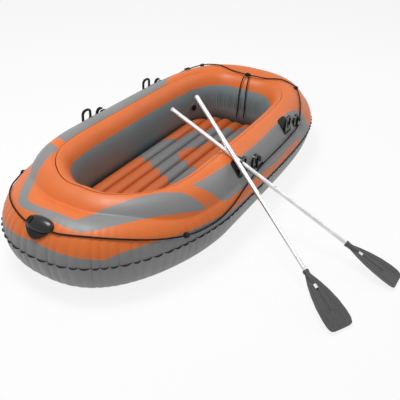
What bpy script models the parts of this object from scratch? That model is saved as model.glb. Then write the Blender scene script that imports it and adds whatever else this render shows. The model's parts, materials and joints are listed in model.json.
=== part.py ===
"""Inflatable rowing boat with its grab line, rowlocks, valves and a pair of two-piece oars.

Metres, +Z up. The bow points along +X and port along +Y. The origin lies on the underside of the
bottom sheet, below the middle of the hull, so the boat rests on the plane z = 0.
"""
import math

import bmesh
import bpy
import numpy as np
from mathutils import Matrix, Vector

MM = 0.001
GAP = 0.3 * MM                # clearance kept between pieces that touch
OVERRUN = 4.0 * MM            # how far a cutter runs past what it cuts

# Hull, over its welded seam flange
HULL_LENGTH = 2.52
HULL_WIDTH = 1.22
WIDEST_FROM_MIDDLE = 0.42     # the widest station lies forward of the middle
SEAM_HEIGHT = 0.205
SHEET_THICKNESS = 1.0 * MM
SHEET_INSET = 0.135
FLANGE_REACH = 7.0 * MM
FLANGE_THICKNESS = 2.4 * MM
BOW_X = HULL_LENGTH / 2
STERN_X = -HULL_LENGTH / 2
BOW_FAN = 0.640
STERN_FAN = 0.600
SPINE_BOW = BOW_X - BOW_FAN   # the hull's sections fan out from the two ends of this spine
SPINE_STERN = STERN_X + STERN_FAN
BOW_POWER_SHARES = (1.62, 2.45)
STERN_POWER_SHARES = (5.4, 2.25)

# Section sizes at the side, at the bow and at the stern
RING_WIDTH = (0.300, 0.480, 0.420)
INNER_LOBE_WIDTH = (0.090, 0.120, 0.100)
MAIN_LOBE_START = (0.034, 0.185, 0.030)
MAIN_LOBE_HALF = (0.142, 0.190, 0.195)
MAIN_LOBE_TOP = (0.412, 0.420, 0.420)
LOWER_TUBE_HALF = (0.150, 0.165, 0.180)
LOWER_TUBE_TOP = (0.330, 0.378, 0.385)
INNER_LOBE_HALF = (0.100, 0.150, 0.120)
INNER_LOBE_TOP = (0.402, 0.408, 0.408)
FLAT_DEPTH = 8.0 * MM         # how far the chambers' undersides are pressed flat
SIDE_STATIONS = 14
FAN_STATIONS = 26
OUTER_POINTS = 20
INNER_POINTS = 16

# Inflated floor with lengthwise ribs
FLOOR_RIBS = 7
FLOOR_TOP = 0.098
FLOOR_GROOVE = 0.052
FLOOR_EDGE = 0.030
FLOOR_TUCK = 0.010            # the floor reaches this far outside the cockpit's clear width
FLOOR_END_ROUND = 0.090
RIB_STEPS = 4
RIB_LENGTH_STEPS = 14

# Rowlocks: a welded patch with an upright ring, and an oar clip aft of it
LOCK_FORWARD_X = 0.213
LOCK_AFT_X = -0.415
LOCK_INSET = 0.066
PATCH_LENGTH = 0.118
PATCH_WIDTH = 0.104
PATCH_CORNER = 0.026
PATCH_INBOARD = 0.016         # the patch's middle lies this far inboard of the ring
PATCH_THICKNESS = 2.0 * MM
RING_SPAN = 0.080
RING_HEIGHT = 0.088
RING_BAR = 0.011
RING_DEPTH = 0.012
RING_CORNER_SHARE = 0.36      # share of the ring's span that its corners take
RING_ROOT = 0.030             # length of a fitting's foot before it is trimmed to its seat
CLIP_SPACING = 0.168          # from a rowlock ring aft to its oar clip
CLIP_INSET = 0.056
CLIP_LENGTH = 0.100
CLIP_HEIGHT = 0.070
CLIP_DEPTH = 0.022
CLIP_ARM = 0.015
CLIP_HOOK_RADIUS = 0.029
CLIP_HOOK_TURN = math.radians(120)    # how far the hook curls over on its outer side
CLIP_MOUTH_TURN = math.radians(290)   # and back round the oar on its inner side
CLIP_HOOK_STEPS = 7
CLIP_MOUTH_LIP = 0.3          # share of the mouth's radius from its middle up to the block's lip
CLIP_BLOCK_BACK = (-0.031, 0.042)     # corners of the block's sloping back
CLIP_BLOCK_FOOT = (-0.050, 0.021)
CLIP_BOSS_PLACE = (-0.0270, 0.0238)
CLIP_BOSS_RADIUS = 0.0125
CLIP_BOSS_PROUD = 0.003
CLIP_TAIL_LENGTH = 0.030
CLIP_TAIL_WIDTH = 0.046
CLIP_TAIL_HEIGHT = 0.012
CLIP_TAIL_CORNER = 0.010
CLIP_TAIL_PLACE = (-0.040, 0.0157)    # aft of the clip's middle, and outboard of it

# Grab line and its guides. Each place on its route is (x, y, turn, extra lift): the turn, in
# degrees, is measured in the section from inboard over the top, or is None on top of the hull.
ROPE_RADIUS = 0.004
ROPE_LIFT = 1.5 * MM          # from the hull's surface to the rope's
ROPE_CLEARANCE = 0.45 * MM
ROPE_BEND = math.radians(17)  # a segment of the rope gets one more step for each such bend
GUIDE_LIFT = 3.0 * MM
CREASE_LIFT = 1.2 * MM
GUIDE_RADIUS = 0.0155
GUIDE_HEIGHT = 0.019
GUIDE_CROWN_SHARES = ((1.00, 0.55), (0.90, 0.80), (0.66, 0.95))
PORT_ROUTE = (
    (1.189, 0.050, 145.0, GUIDE_LIFT), (1.184, 0.114, 144.8, 0.0), (1.130, 0.235, 142.9, 0.0),
    (1.046, 0.342, 144.9, 0.0), (0.950, 0.432, 149.6, 0.0), (0.862, 0.490, 155.0, 0.0),
    (0.775, 0.533, 160.0, GUIDE_LIFT), (0.690, 0.562, 164.0, 0.0), (0.560, 0.590, 165.0, 0.0),
    (0.420, 0.595, 157.5, 0.0), (0.240, 0.583, 145.0, 0.0), (0.007, 0.563, 134.0, CREASE_LIFT),
    (-0.200, 0.562, 133.0, CREASE_LIFT), (-0.370, 0.558, 132.5, CREASE_LIFT),
    (-0.540, 0.550, 131.5, CREASE_LIFT), (-0.625, 0.530, 124.0, 0.0),
    (-0.710, 0.498, 109.5, 0.0), (-0.800, 0.452, None, 0.0), (-0.915, 0.372, None, GUIDE_LIFT),
    (-0.953, 0.270, None, CREASE_LIFT), (-0.953, 0.210, None, CREASE_LIFT),
    (-0.945, 0.140, None, CREASE_LIFT), (-0.930, 0.050, None, GUIDE_LIFT),
)
BOW_GUIDE = 6                 # places of the guides on the route
STERN_GUIDE = 18
KNOT_X = SPINE_STERN - 0.264
KNOT_LENGTH = 0.046
KNOT_WIDTH = 0.030
KNOT_HEIGHT = 0.026
KNOT_RISE = 0.0117            # from the hull to the knot's middle
TAIL_BEND = math.radians(8)
PORT_TAIL = ((-0.9104, 0.0149, 0.4172), (-0.880, 0.026, 0.3990), (-0.853, 0.031, 0.3550),
             (-0.837, 0.034, 0.2980), (-0.830, 0.037, 0.2350), (-0.829, 0.038, 0.1750),
             (-0.831, 0.035, 0.1200))
STARBOARD_TAIL = ((-0.9084, -0.0104, 0.4168), (-0.879, -0.015, 0.3990), (-0.852, -0.016, 0.3550),
                  (-0.836, -0.016, 0.2980), (-0.829, -0.014, 0.2350), (-0.828, -0.017, 0.1750),
                  (-0.830, -0.022, 0.1100))

# Bow handle
HANDLE_TURN = 145.0
HANDLE_X = BOW_X - 0.070
HANDLE_SPAN = 0.170
HANDLE_LENGTH = 0.078
HANDLE_HEIGHT = 0.022
HANDLE_BOSS_OFFSET = 0.052
HANDLE_BOSS_RADIUS = 0.012
HANDLE_BOSS_HEIGHT = 0.0206
GRIP_WIDTH = 0.017
GRIP_THICKNESS = 0.009
GRIP_LIFT = 0.006
GRIP_CLEARANCE = 0.4 * MM
PORT_GRIP = ((BOW_X - 0.022, 0.000, 163.5), (BOW_X - 0.027, 0.020, 162.0),
             (BOW_X - 0.038, 0.040, 158.0), (BOW_X - 0.048, 0.055, 154.0),
             (BOW_X - 0.055, 0.062, 150.5))

# Valves
VALVE_PLACE = (SPINE_STERN + 0.020, -HULL_WIDTH / 4)
VALVE_TURN = -16.0
VALVE_FLANGE_RADIUS = 0.029
VALVE_FLANGE_THICKNESS = 2.5 * MM
VALVE_NECK_RADIUS = 0.0165
VALVE_NECK_HEIGHT = 0.010
VALVE_BORE_RADIUS = 0.0105
CAP_RADIUS = 0.0205
CAP_TOP = 2.5 * MM
CAP_RIBS = 12
CAP_FLUTE = 0.06
OUTER_VALVE_PLACE = (SPINE_STERN - 0.115, -HULL_WIDTH / 3)
OUTER_VALVE_TURN = 88.0
FLOOR_VALVE_X = SPINE_STERN + 0.030
FLOOR_VALVE_RADIUS = 0.014
FLOOR_VALVE_HEIGHT = 0.008
FLOOR_VALVE_BORE = 0.0058
PLUG_TOP_RADIUS = 0.0110
PLUG_TOP_THICKNESS = 2.0 * MM
PLUG_STEM_RADII = (0.0052, 0.0042)
PLUG_STEM_LENGTH = 0.006
PLUG_STRAP_WIDTH = 0.005
PLUG_STRAP_CORNER = 1.0 * MM
PLUG_STRAP_START = 0.0088     # the strap runs out of the plug's head from here
PLUG_PIVOT = 0.0175           # from the floor valve's axis to where its plug's strap bends

# Oars: along each of them x runs from its blade's tip to its handle
OAR_LENGTH = 1.500
SECTION_JOINT = 0.750
UPPER_RADIUS = 0.0125
LOWER_RADIUS = 0.0110
TUBE_WALL = 1.2 * MM
SHAFT_OVERLAP = 0.090
BLADE_LENGTH = 0.300
BLADE_WIDTH = 0.148
# Shares of the blade's length from its tip, and of its width there
BLADE_OUTLINE_SHARES = ((0.000, 0.68), (0.033, 0.89), (0.10, 0.99), (0.23, 1.00), (0.43, 0.93),
                        (0.63, 0.76), (0.80, 0.54), (0.92, 0.34), (1.00, 0.20))
BLADE_THICKNESS = 4.0 * MM
BLADE_CAMBER = 0.010
BLADE_COLUMNS = 8
SOCKET_START = BLADE_LENGTH - 0.085
SOCKET_END = BLADE_LENGTH + 0.018
SOCKET_WALL = 3.0 * MM
PLUG_HEAD = 0.012
PLUG_DEPTH = 0.025
BUTTON_RADIUS = 3.2 * MM
BUTTON_PROUD = 3.0 * MM
BUTTON_TIP_RADIUS = 2.2 * MM
BUTTON_TIP_DROP = 0.5 * MM
BUTTON_SHOULDER_DROP = 1.6 * MM
BUTTON_FLANGE_RADIUS = 4.4 * MM
BUTTON_FLANGE_THICKNESS = 1.2 * MM
BUTTON_FROM_JOINT = 0.028
# Where each oar lies: the place its axis passes over the port tube, then how far ahead of that
# place and outboard of it the blade's tip lies
PORT_OAR_PASS = (LOCK_FORWARD_X + 0.0060, HULL_WIDTH / 2 - 0.0725, MAIN_LOBE_TOP[0] - 0.0236)
PORT_OAR_RUN = (0.0360, 0.9225)
LOOSE_OAR_PASS = (LOCK_FORWARD_X + 0.0083, HULL_WIDTH / 2 - 0.1513, MAIN_LOBE_TOP[0] + 0.0355)
LOOSE_OAR_RUN = (0.4957, 0.8683)
TIP_HEIGHT = 0.012

ORANGE = (0.80, 0.22, 0.08)
GREY = (0.24, 0.24, 0.25)
BLACK = (0.02, 0.02, 0.02)
BLADE_GREY = (0.09, 0.09, 0.09)
ALUMINIUM = (0.78, 0.79, 0.80)
PLUG_WHITE = (0.70, 0.70, 0.70)
CLEAR_PINK = (0.75, 0.62, 0.60)

BASE_Z = SHEET_THICKNESS + GAP

# Edges that bend less than this are shaded smooth
HARD_EDGE = math.radians(35)
SOFT_EDGE = math.radians(60)

# Sides of round pieces
PIN_SIDES = 12
BOSS_SIDES = 16
ROUND_SIDES = 20
ROPE_SIDES = 10


def clear_scene():
    for obj in list(bpy.data.objects):
        bpy.data.objects.remove(obj, do_unlink=True)


def material(name, colour, roughness, metallic=0.0):
    mat = bpy.data.materials.new(name)
    mat.use_nodes = True
    shader = mat.node_tree.nodes["Principled BSDF"]
    shader.inputs["Base Color"].default_value = (*colour, 1.0)
    shader.inputs["Roughness"].default_value = roughness
    shader.inputs["Metallic"].default_value = metallic
    return mat


def add_object(name, bm, mat, smooth_angle=HARD_EDGE):
    """Turns a closed bmesh into an object with its faces out."""
    bmesh.ops.recalc_face_normals(bm, faces=bm.faces)
    mesh = bpy.data.meshes.new(name)
    bm.to_mesh(mesh)
    bm.free()
    mesh.shade_smooth()
    mesh.set_sharp_from_angle(angle=smooth_angle)
    mesh.materials.append(mat)
    obj = bpy.data.objects.new(name, mesh)
    bpy.context.scene.collection.objects.link(obj)
    return obj


def as_guide(obj):
    obj.hide_render = True
    obj.display_type = "WIRE"
    return obj


def boolean(obj, other, operation):
    step = obj.modifiers.new(operation.lower(), "BOOLEAN")
    step.operation = operation
    step.solver = "EXACT"
    step.object = as_guide(other)
    return obj


def frame_matrix(origin, x_axis, z_axis):
    """A right-handed frame with its z axis kept and its x axis made square to it."""
    z_axis = z_axis.normalized()
    y_axis = z_axis.cross(x_axis).normalized()
    x_axis = y_axis.cross(z_axis)
    turn = Matrix((x_axis, y_axis, z_axis)).transposed()
    return Matrix.Translation(origin) @ turn.to_4x4()


def loft(bm, rings, closed_rings=True, wrap=False, caps=True):
    """Skins a list of equal rings of points, and caps the two ends unless the rings wrap round."""
    rows = [[bm.verts.new(p) for p in ring] for ring in rings]
    count = len(rows[0])
    pairs = list(zip(rows, rows[1:]))
    if wrap:
        pairs.append((rows[-1], rows[0]))
    steps = count if closed_rings else count - 1
    for a, b in pairs:
        for k in range(steps):
            n = (k + 1) % count
            bm.faces.new((a[k], a[n], b[n], b[k]))
    if caps and not wrap:
        bm.faces.new(rows[0][::-1])
        bm.faces.new(rows[-1])
    return rows


def circle(radius, count):
    step = 2 * math.pi / count
    return [Vector((radius * math.cos(step * k), radius * math.sin(step * k), 0.0))
            for k in range(count)]


def turned(name, profile, count, mat, flute=0.0):
    """A solid of revolution about z from (radius, z) pairs that run from the axis to the axis, or
    a ring if they never reach it. A flute draws in every other point of its widest circles."""
    bm = bmesh.new()
    on_axis = profile[0][0] == 0
    inner = profile[1:-1] if on_axis else profile
    widest = max(r for r, _ in profile)
    rings = []
    for r, z in inner:
        drawn_in = 1 - flute if r == widest else 1.0
        rings.append([p * (drawn_in if k % 2 else 1.0) for k, p in enumerate(circle(r, count))])
        rings[-1] = [Vector((p.x, p.y, z)) for p in rings[-1]]
    rows = loft(bm, rings, wrap=not on_axis, caps=False)
    if on_axis:
        for (_, z), row in ((profile[0], rows[0]), (profile[-1], rows[-1])):
            tip = bm.verts.new((0, 0, z))
            for k in range(count):
                bm.faces.new((row[k], row[(k + 1) % count], tip))
    return add_object(name, bm, mat)


def tube(name, inner_radius, outer_radius, low, high, count, mat):
    profile = [(outer_radius, low), (outer_radius, high), (inner_radius, high), (inner_radius, low)]
    return turned(name, profile, count, mat)


def plate(name, outline, low, high, mat, holes=()):
    """Extrudes a flat outline, with any holes bridged to it, from z = low to z = high."""
    bm = bmesh.new()
    for loop in (outline, *holes):
        rows = [[bm.verts.new((p[0], p[1], z)) for p in loop] for z in (low, high)]
        count = len(loop)
        for k in range(count):
            n = (k + 1) % count
            bm.faces.new((rows[0][k], rows[0][n], rows[1][n], rows[1][k]))
    bm.edges.ensure_lookup_table()
    for z in (low, high):
        level = [e for e in bm.edges if all(math.isclose(v.co.z, z, abs_tol=GAP) for v in e.verts)]
        bmesh.ops.triangle_fill(bm, edges=level, use_beauty=True, use_dissolve=False)
    return add_object(name, bm, mat)


# Hull surface. A point of the hull is given by its foot on the spine, its direction from there,
# its inset from the outline towards the foot, and its height.

def half_length():
    return HULL_LENGTH / 2 - FLANGE_REACH


def half_width():
    return HULL_WIDTH / 2 - FLANGE_REACH


def outside(x, y):
    """Above 1 outside the chambers' outline, below 1 inside it."""
    forward = x > WIDEST_FROM_MIDDLE
    length_power, width_power = BOW_POWER_SHARES if forward else STERN_POWER_SHARES
    run = half_length() + (-WIDEST_FROM_MIDDLE if forward else WIDEST_FROM_MIDDLE)
    along = abs(x - WIDEST_FROM_MIDDLE) / run
    return along ** length_power + (abs(y) / half_width()) ** width_power


def reach(foot, direction):
    """Distance from a foot on the spine to the outline."""
    low, high = 0.0, HULL_LENGTH
    for _ in range(44):
        middle = (low + high) / 2
        if outside(foot + direction[0] * middle, direction[1] * middle) > 1:
            high = middle
        else:
            low = middle
    return low


def end_weights(direction):
    """How far a direction turns to the bow and to the stern, from 0 at the side to 1."""
    share = direction[0] ** 2
    return (share, 0.0) if direction[0] > 0 else (0.0, share)


def at_station(sizes, direction):
    """A size at a station, from its values at the side, the bow and the stern."""
    bow, stern = end_weights(direction)
    side, at_bow, at_stern = sizes
    return side + (at_bow - side) * bow + (at_stern - side) * stern


def station_list():
    """(foot, direction) round the hull, from the bow over port to the stern and back."""
    stations = []
    for k in range(FAN_STATIONS):
        turn = math.pi * (k / FAN_STATIONS - 0.5)
        stations.append((SPINE_BOW, (math.cos(turn), math.sin(turn))))
    for k in range(SIDE_STATIONS):
        stations.append((SPINE_BOW + (SPINE_STERN - SPINE_BOW) * k / SIDE_STATIONS, (0.0, 1.0)))
    for k in range(FAN_STATIONS):
        turn = math.pi * (k / FAN_STATIONS + 0.5)
        stations.append((SPINE_STERN, (math.cos(turn), math.sin(turn))))
    for k in range(SIDE_STATIONS):
        stations.append((SPINE_STERN + (SPINE_BOW - SPINE_STERN) * k / SIDE_STATIONS, (0.0, -1.0)))
    return stations


def hull_point(foot, direction, inset, z):
    distance = reach(foot, direction) - inset
    return Vector((foot + direction[0] * distance, direction[1] * distance, z))


def crease_inset(direction):
    return at_station(RING_WIDTH, direction) - at_station(INNER_LOBE_WIDTH, direction)


def outer_lobes(direction):
    """(centre inset, half width, top) of the main lobe and of the tube below and outside it."""
    half = at_station(MAIN_LOBE_HALF, direction)
    start = at_station(MAIN_LOBE_START, direction)
    tube_half = at_station(LOWER_TUBE_HALF, direction)
    return ((start + half, half, at_station(MAIN_LOBE_TOP, direction)),
            (tube_half, tube_half, at_station(LOWER_TUBE_TOP, direction)))


def inner_lobes(direction):
    half = at_station(INNER_LOBE_HALF, direction)
    return ((at_station(RING_WIDTH, direction) - half, half,
             at_station(INNER_LOBE_TOP, direction)),)


def lobe_exit(core, lobe, cosine, sine):
    """Distance from a core at seam height to the lobe's surface, or 0 where it misses the lobe."""
    centre, half, top = lobe
    rise = top - SEAM_HEIGHT if sine > 0 else SEAM_HEIGHT - BASE_Z + FLAT_DEPTH
    start, dx, dz = (core - centre) / half, cosine / half, sine / rise
    a, b, c = dx * dx + dz * dz, start * dx, start * start - 1
    root = b * b - a * c
    return max((-b + math.sqrt(root)) / a, 0.0) if root > 0 else 0.0


def lobe_height(inset, lobes):
    """Height of the lobes' union at an inset."""
    heights = [SEAM_HEIGHT]
    for centre, half, top in lobes:
        share = 1 - ((inset - centre) / half) ** 2
        if share > 0:
            heights.append(SEAM_HEIGHT + (top - SEAM_HEIGHT) * math.sqrt(share))
    return max(heights)


def section_turns(core, lobes, wall, points):
    """Directions round a core, two of them through the corners where the section meets its wall."""
    across = math.sqrt(abs(wall - core) * SEAM_HEIGHT)
    turns = [math.atan2(SEAM_HEIGHT * math.sin(2 * math.pi * k / points),
                        across * math.cos(2 * math.pi * k / points)) for k in range(points)]
    for height in (lobe_height(wall, lobes), BASE_Z):
        corner = math.atan2(height - SEAM_HEIGHT, wall - core)
        nearest = min(range(points), key=lambda k: abs(turns[k] - corner))
        turns[nearest] = corner
    return turns


def section(core, lobes, wall, wall_side, points, swell):
    """(inset, height) points round the union of the lobes, cut at the wall and at the bottom, and
    then moved out by the swell."""
    found = []
    for turn in section_turns(core, lobes, wall, points):
        cosine, sine = math.cos(turn), math.sin(turn)
        out = max(lobe_exit(core, lobe, cosine, sine) for lobe in lobes)
        if cosine * wall_side > 0:
            out = min(out, (wall - core) / cosine)
        if sine < 0:
            out = min(out, (SEAM_HEIGHT - BASE_Z) / -sine)
        found.append((core + (out + swell) * cosine, SEAM_HEIGHT + (out + swell) * sine))
    return found


def outer_core(direction):
    """Inset of a place inside both outer lobes, from which their sections are measured."""
    start = at_station(MAIN_LOBE_START, direction)
    end = min(crease_inset(direction), 2 * at_station(LOWER_TUBE_HALF, direction))
    return (start + end) / 2


def inner_core(direction):
    return (crease_inset(direction) + at_station(RING_WIDTH, direction)) / 2


def outer_section(direction, swell=0.0):
    wall = crease_inset(direction) - GAP / 2
    return section(outer_core(direction), outer_lobes(direction), wall, 1, OUTER_POINTS, swell)


def inner_section(direction, swell=0.0):
    wall = crease_inset(direction) + GAP / 2
    return section(inner_core(direction), inner_lobes(direction), wall, -1, INNER_POINTS, swell)


def chamber(name, section_of, mat, swell=0.0):
    bm = bmesh.new()
    rings = [[hull_point(foot, direction, inset, z) for inset, z in section_of(direction, swell)]
             for foot, direction in station_list()]
    loft(bm, rings, wrap=True)
    return add_object(name, bm, mat, SOFT_EDGE)


def spine_coordinates(x, y):
    """The foot, the direction and the inset of a place seen from above."""
    foot = min(max(x, SPINE_STERN), SPINE_BOW)
    distance = math.hypot(x - foot, y)
    direction = ((x - foot) / distance, y / distance)
    return foot, direction, reach(foot, direction) - distance


def hull_height(x, y):
    """Height of the chambers' upper surface."""
    _, direction, inset = spine_coordinates(x, y)
    lobes = outer_lobes(direction) if inset < crease_inset(direction) else inner_lobes(direction)
    return lobe_height(inset, lobes)


def on_hull(x, y):
    return Vector((x, y, hull_height(x, y)))


def hull_normal(x, y):
    step = PATCH_THICKNESS
    along = on_hull(x + step, y) - on_hull(x - step, y)
    across = on_hull(x, y + step) - on_hull(x, y - step)
    return along.cross(across).normalized()


def surface_point(foot, direction, turn):
    """A point of the outer chamber at a turn, in degrees, of its section."""
    core = outer_core(direction)
    cosine, sine = math.cos(math.radians(turn)), math.sin(math.radians(turn))
    out = max(lobe_exit(core, lobe, cosine, sine) for lobe in outer_lobes(direction))
    return hull_point(foot, direction, core + out * cosine, SEAM_HEIGHT + out * sine)


def wall_point(foot, direction, turn):
    """A point of the inner chamber's cockpit side at a turn, in degrees, of its section."""
    core = inner_core(direction)
    cosine, sine = math.cos(math.radians(turn)), math.sin(math.radians(turn))
    out = max(lobe_exit(core, lobe, cosine, sine) for lobe in inner_lobes(direction))
    return hull_point(foot, direction, core + out * cosine, SEAM_HEIGHT + out * sine)


def surface_frame(point_at, x, y, turn):
    """Frame on the surface: its z axis stands off the hull, its x axis runs round the hull
    clockwise seen from above, which is forward on the port side."""
    foot, direction, _ = spine_coordinates(x, y)
    origin = point_at(foot, direction, turn)
    step = math.degrees(PATCH_THICKNESS / HULL_WIDTH)
    ahead = Vector((-direction[1], direction[0], 0)) * -PATCH_THICKNESS
    near_foot, near_direction, _ = spine_coordinates(x + ahead.x, y + ahead.y)
    along = point_at(near_foot, near_direction, turn) - origin
    inboard = point_at(foot, direction, turn - step) - origin
    normal = inboard.cross(along)
    return frame_matrix(origin, along, normal)


def route_frame(x, y, turn):
    """Frame of a place on the grab line's route."""
    if turn is None:
        place = on_hull(x, y)
        return frame_matrix(place, Vector((y, -x, 0)), hull_normal(x, y))
    return surface_frame(surface_point, x, y, turn)


def mirrored(places):
    """The same places on the starboard side."""
    return [(x, -y, *rest) for x, y, *rest in places]


# Hull pieces

def make_bottom_sheet(mat):
    outline = [hull_point(foot, direction, SHEET_INSET, 0.0) for foot, direction in station_list()]
    return plate("bottom_sheet", outline, 0.0, SHEET_THICKNESS, mat)


def make_seam_flange(mat):
    bm = bmesh.new()
    half = FLANGE_THICKNESS / 2
    corners = ((-GAP, -half), (-GAP, half), (-FLANGE_REACH, half), (-FLANGE_REACH, -half))
    rings = [[hull_point(foot, direction, inset, SEAM_HEIGHT + z) for inset, z in corners]
             for foot, direction in station_list()]
    loft(bm, rings, wrap=True)
    return add_object("seam_flange", bm, mat)


def cockpit_outline(margin):
    """Points of the cockpit's inner outline, moved outwards by the margin."""
    return [hull_point(foot, direction, at_station(RING_WIDTH, direction) - margin, 0.0)
            for foot, direction in station_list()]


def floor_reach(y, outline, end):
    """Where the floor ends at the given y, towards the bow (end 1) or the stern (end -1)."""
    points = sorted((p.y, p.x) for p in outline if p.x * end > 0 and abs(p.x) > SPINE_BOW / 2)
    return float(np.interp(y, [p[0] for p in points], [p[1] for p in points]))


def floor_half():
    outline = cockpit_outline(FLOOR_TUCK)
    return min(abs(p.y) for p in outline if abs(p.x) < SPINE_BOW / 2)


def floor_crest():
    """Distance from the middle of the floor to the next rib's crest."""
    return 2 * floor_half() / FLOOR_RIBS


def make_floor(mat):
    """Ribs along the boat: each crowns up between two grooves and rounds off at its ends."""
    outline = cockpit_outline(FLOOR_TUCK)
    half = floor_half()
    columns = FLOOR_RIBS * RIB_STEPS
    grid = []
    for j in range(columns + 1):
        y = half * (2 * j / columns - 1) * (1 - GAP / half)
        in_rib = abs((j % RIB_STEPS) / RIB_STEPS * 2 - 1)
        low = FLOOR_EDGE if j in (0, columns) else FLOOR_GROOVE
        crest = low + (FLOOR_TOP - low) * math.sqrt(1 - in_rib ** 2)
        stern, bow = floor_reach(y, outline, -1), floor_reach(y, outline, 1)
        line = []
        for k in range(RIB_LENGTH_STEPS + 1):
            share = (1 - math.cos(math.pi * k / RIB_LENGTH_STEPS)) / 2
            x = stern + (bow - stern) * share
            from_end = min(x - stern, bow - x) / FLOOR_END_ROUND
            rise = math.sqrt(1 - (1 - min(max(from_end, 0.0), 1.0)) ** 2)
            line.append(Vector((x, y, FLOOR_EDGE + (crest - FLOOR_EDGE) * rise)))
        grid.append(line)
    bm = bmesh.new()
    top = [[bm.verts.new(p) for p in line] for line in grid]
    for a, b in zip(top, top[1:]):
        for k in range(RIB_LENGTH_STEPS):
            bm.faces.new((a[k], a[k + 1], b[k + 1], b[k]))
    rim = [*top[0], *[line[-1] for line in top[1:-1]], *top[-1][::-1],
           *[line[0] for line in top[-2:0:-1]]]
    foot = [bm.verts.new((v.co.x, v.co.y, BASE_Z)) for v in rim]
    for k in range(len(rim)):
        n = (k + 1) % len(rim)
        bm.faces.new((rim[k], rim[n], foot[n], foot[k]))
    bm.faces.new(foot)
    return add_object("inflatable_floor", bm, mat, SOFT_EDGE)


# Seats and cutters

def chamber_seat(name, section_of, swell, mat):
    """A guide that is the chamber grown by the swell: fittings are trimmed to it."""
    return as_guide(chamber(name, section_of, mat, swell))


def rope_points(route):
    """Points of a smooth curve through a route's places, each lifted off the hull."""
    lift = ROPE_RADIUS + ROPE_LIFT
    places = []
    for x, y, turn, extra in route:
        frame = route_frame(x, y, turn)
        places.append(frame.translation + frame.col[2].to_3d() * (lift + extra))
    return smooth_points(places, ROPE_BEND)


def smooth_points(places, bend):
    """Catmull-Rom points through the places, closer together where the curve bends more."""
    points = []
    last = len(places) - 1
    for k in range(last):
        p1, p2 = places[k], places[k + 1]
        p0 = places[k - 1] if k else p1 * 2 - p2
        p3 = places[k + 2] if k + 2 <= last else p2 * 2 - p1
        steps = 1 + int(((p1 - p0).angle(p2 - p1) + (p2 - p1).angle(p3 - p2)) / bend)
        for j in range(steps):
            t = j / steps
            points.append((p1 * 2 + (p2 - p0) * t + (p0 * 2 - p1 * 5 + p2 * 4 - p3) * t ** 2
                           + (p1 * 3 - p0 - p2 * 3 + p3) * t ** 3) / 2)
    return [*points, places[-1]]


def cord(name, points, radius, mat):
    """A round cord along the points."""
    curve = bpy.data.curves.new(name, "CURVE")
    curve.dimensions = "3D"
    curve.bevel_depth = radius
    curve.bevel_resolution = 2
    curve.use_fill_caps = True
    spline = curve.splines.new("POLY")
    spline.points.add(len(points) - 1)
    for place, point in zip(spline.points, points):
        place.co = (*point, 1.0)
    spline.use_smooth = True
    curve.materials.append(mat)
    obj = bpy.data.objects.new(name, curve)
    bpy.context.scene.collection.objects.link(obj)
    return obj


def rope_bore(name, points, radius, mat):
    """A guide that follows the points: what holds the grab line is cut by it."""
    bm = bmesh.new()
    across = Vector((0, 0, 1))
    rings = []
    for k, point in enumerate(points):
        along = (points[min(k + 1, len(points) - 1)] - points[max(k - 1, 0)]).normalized()
        across = (across - along * across.dot(along)).normalized()
        other = along.cross(across)
        turns = [2 * math.pi * j / ROPE_SIDES for j in range(ROPE_SIDES)]
        rings.append([point + (across * math.cos(t) + other * math.sin(t)) * radius
                      for t in turns])
    loft(bm, rings)
    return as_guide(add_object(name, bm, mat))


def rounded_rectangle(length, width, radius, steps=3):
    """Corner arcs of a rounded rectangle centred on the origin."""
    points = []
    for quarter, (sx, sy) in enumerate(((1, 1), (-1, 1), (-1, -1), (1, -1))):
        cx, cy = sx * (length / 2 - radius), sy * (width / 2 - radius)
        for k in range(steps + 1):
            turn = math.pi / 2 * (quarter + k / steps)
            points.append((cx + radius * math.cos(turn), cy + radius * math.sin(turn)))
    return points


# Fittings on the tube

def upright_frame(x, inset, side):
    """Frame on the tube's shoulder with its z axis up and its x axis forward."""
    foot = min(max(x, SPINE_STERN), SPINE_BOW)
    y = side * (reach(foot, (0.0, float(side))) - inset)
    return Matrix.Translation(on_hull(x, y))


def make_patch(name, x, side, seats, mat):
    """A welded patch that follows the tube: a rounded prism cut to a shell over the hull."""
    foot = min(max(x, SPINE_STERN), SPINE_BOW)
    y = side * (reach(foot, (0.0, float(side))) - LOCK_INSET - PATCH_INBOARD)
    frame = frame_matrix(on_hull(x, y), Vector((1, 0, 0)), hull_normal(x, y))
    outline = rounded_rectangle(PATCH_LENGTH, PATCH_WIDTH, PATCH_CORNER)
    patch = plate(name, outline, -PATCH_WIDTH / 4, PATCH_WIDTH / 4, mat)
    patch.matrix_world = frame
    boolean(patch, seats["patch_top"], "INTERSECT")
    return boolean(patch, seats["hull"], "DIFFERENCE")


def standing(name, outline, depth, mat, matrix, holes=()):
    """Extrudes an outline drawn in the frame's x and z across its y axis."""
    obj = plate(name, outline, -depth / 2, depth / 2, mat, holes)
    obj.matrix_world = matrix @ Matrix.Rotation(math.radians(90), 4, "X")
    return obj


def lifted(outline, height):
    return [(x, z + height) for x, z in outline]


def make_ring(name, x, side, seats, mat):
    clear = RING_SPAN - 2 * RING_BAR
    outer = rounded_rectangle(RING_SPAN, RING_HEIGHT + RING_ROOT, RING_SPAN * RING_CORNER_SHARE, 4)
    inner = rounded_rectangle(clear, RING_HEIGHT - 2 * RING_BAR, clear * RING_CORNER_SHARE, 4)
    ring = standing(name, lifted(outer, (RING_HEIGHT - RING_ROOT) / 2), RING_DEPTH, mat,
                    upright_frame(x, LOCK_INSET, side), [lifted(inner, RING_HEIGHT / 2)])
    return boolean(ring, seats["ring"], "DIFFERENCE")


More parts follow.
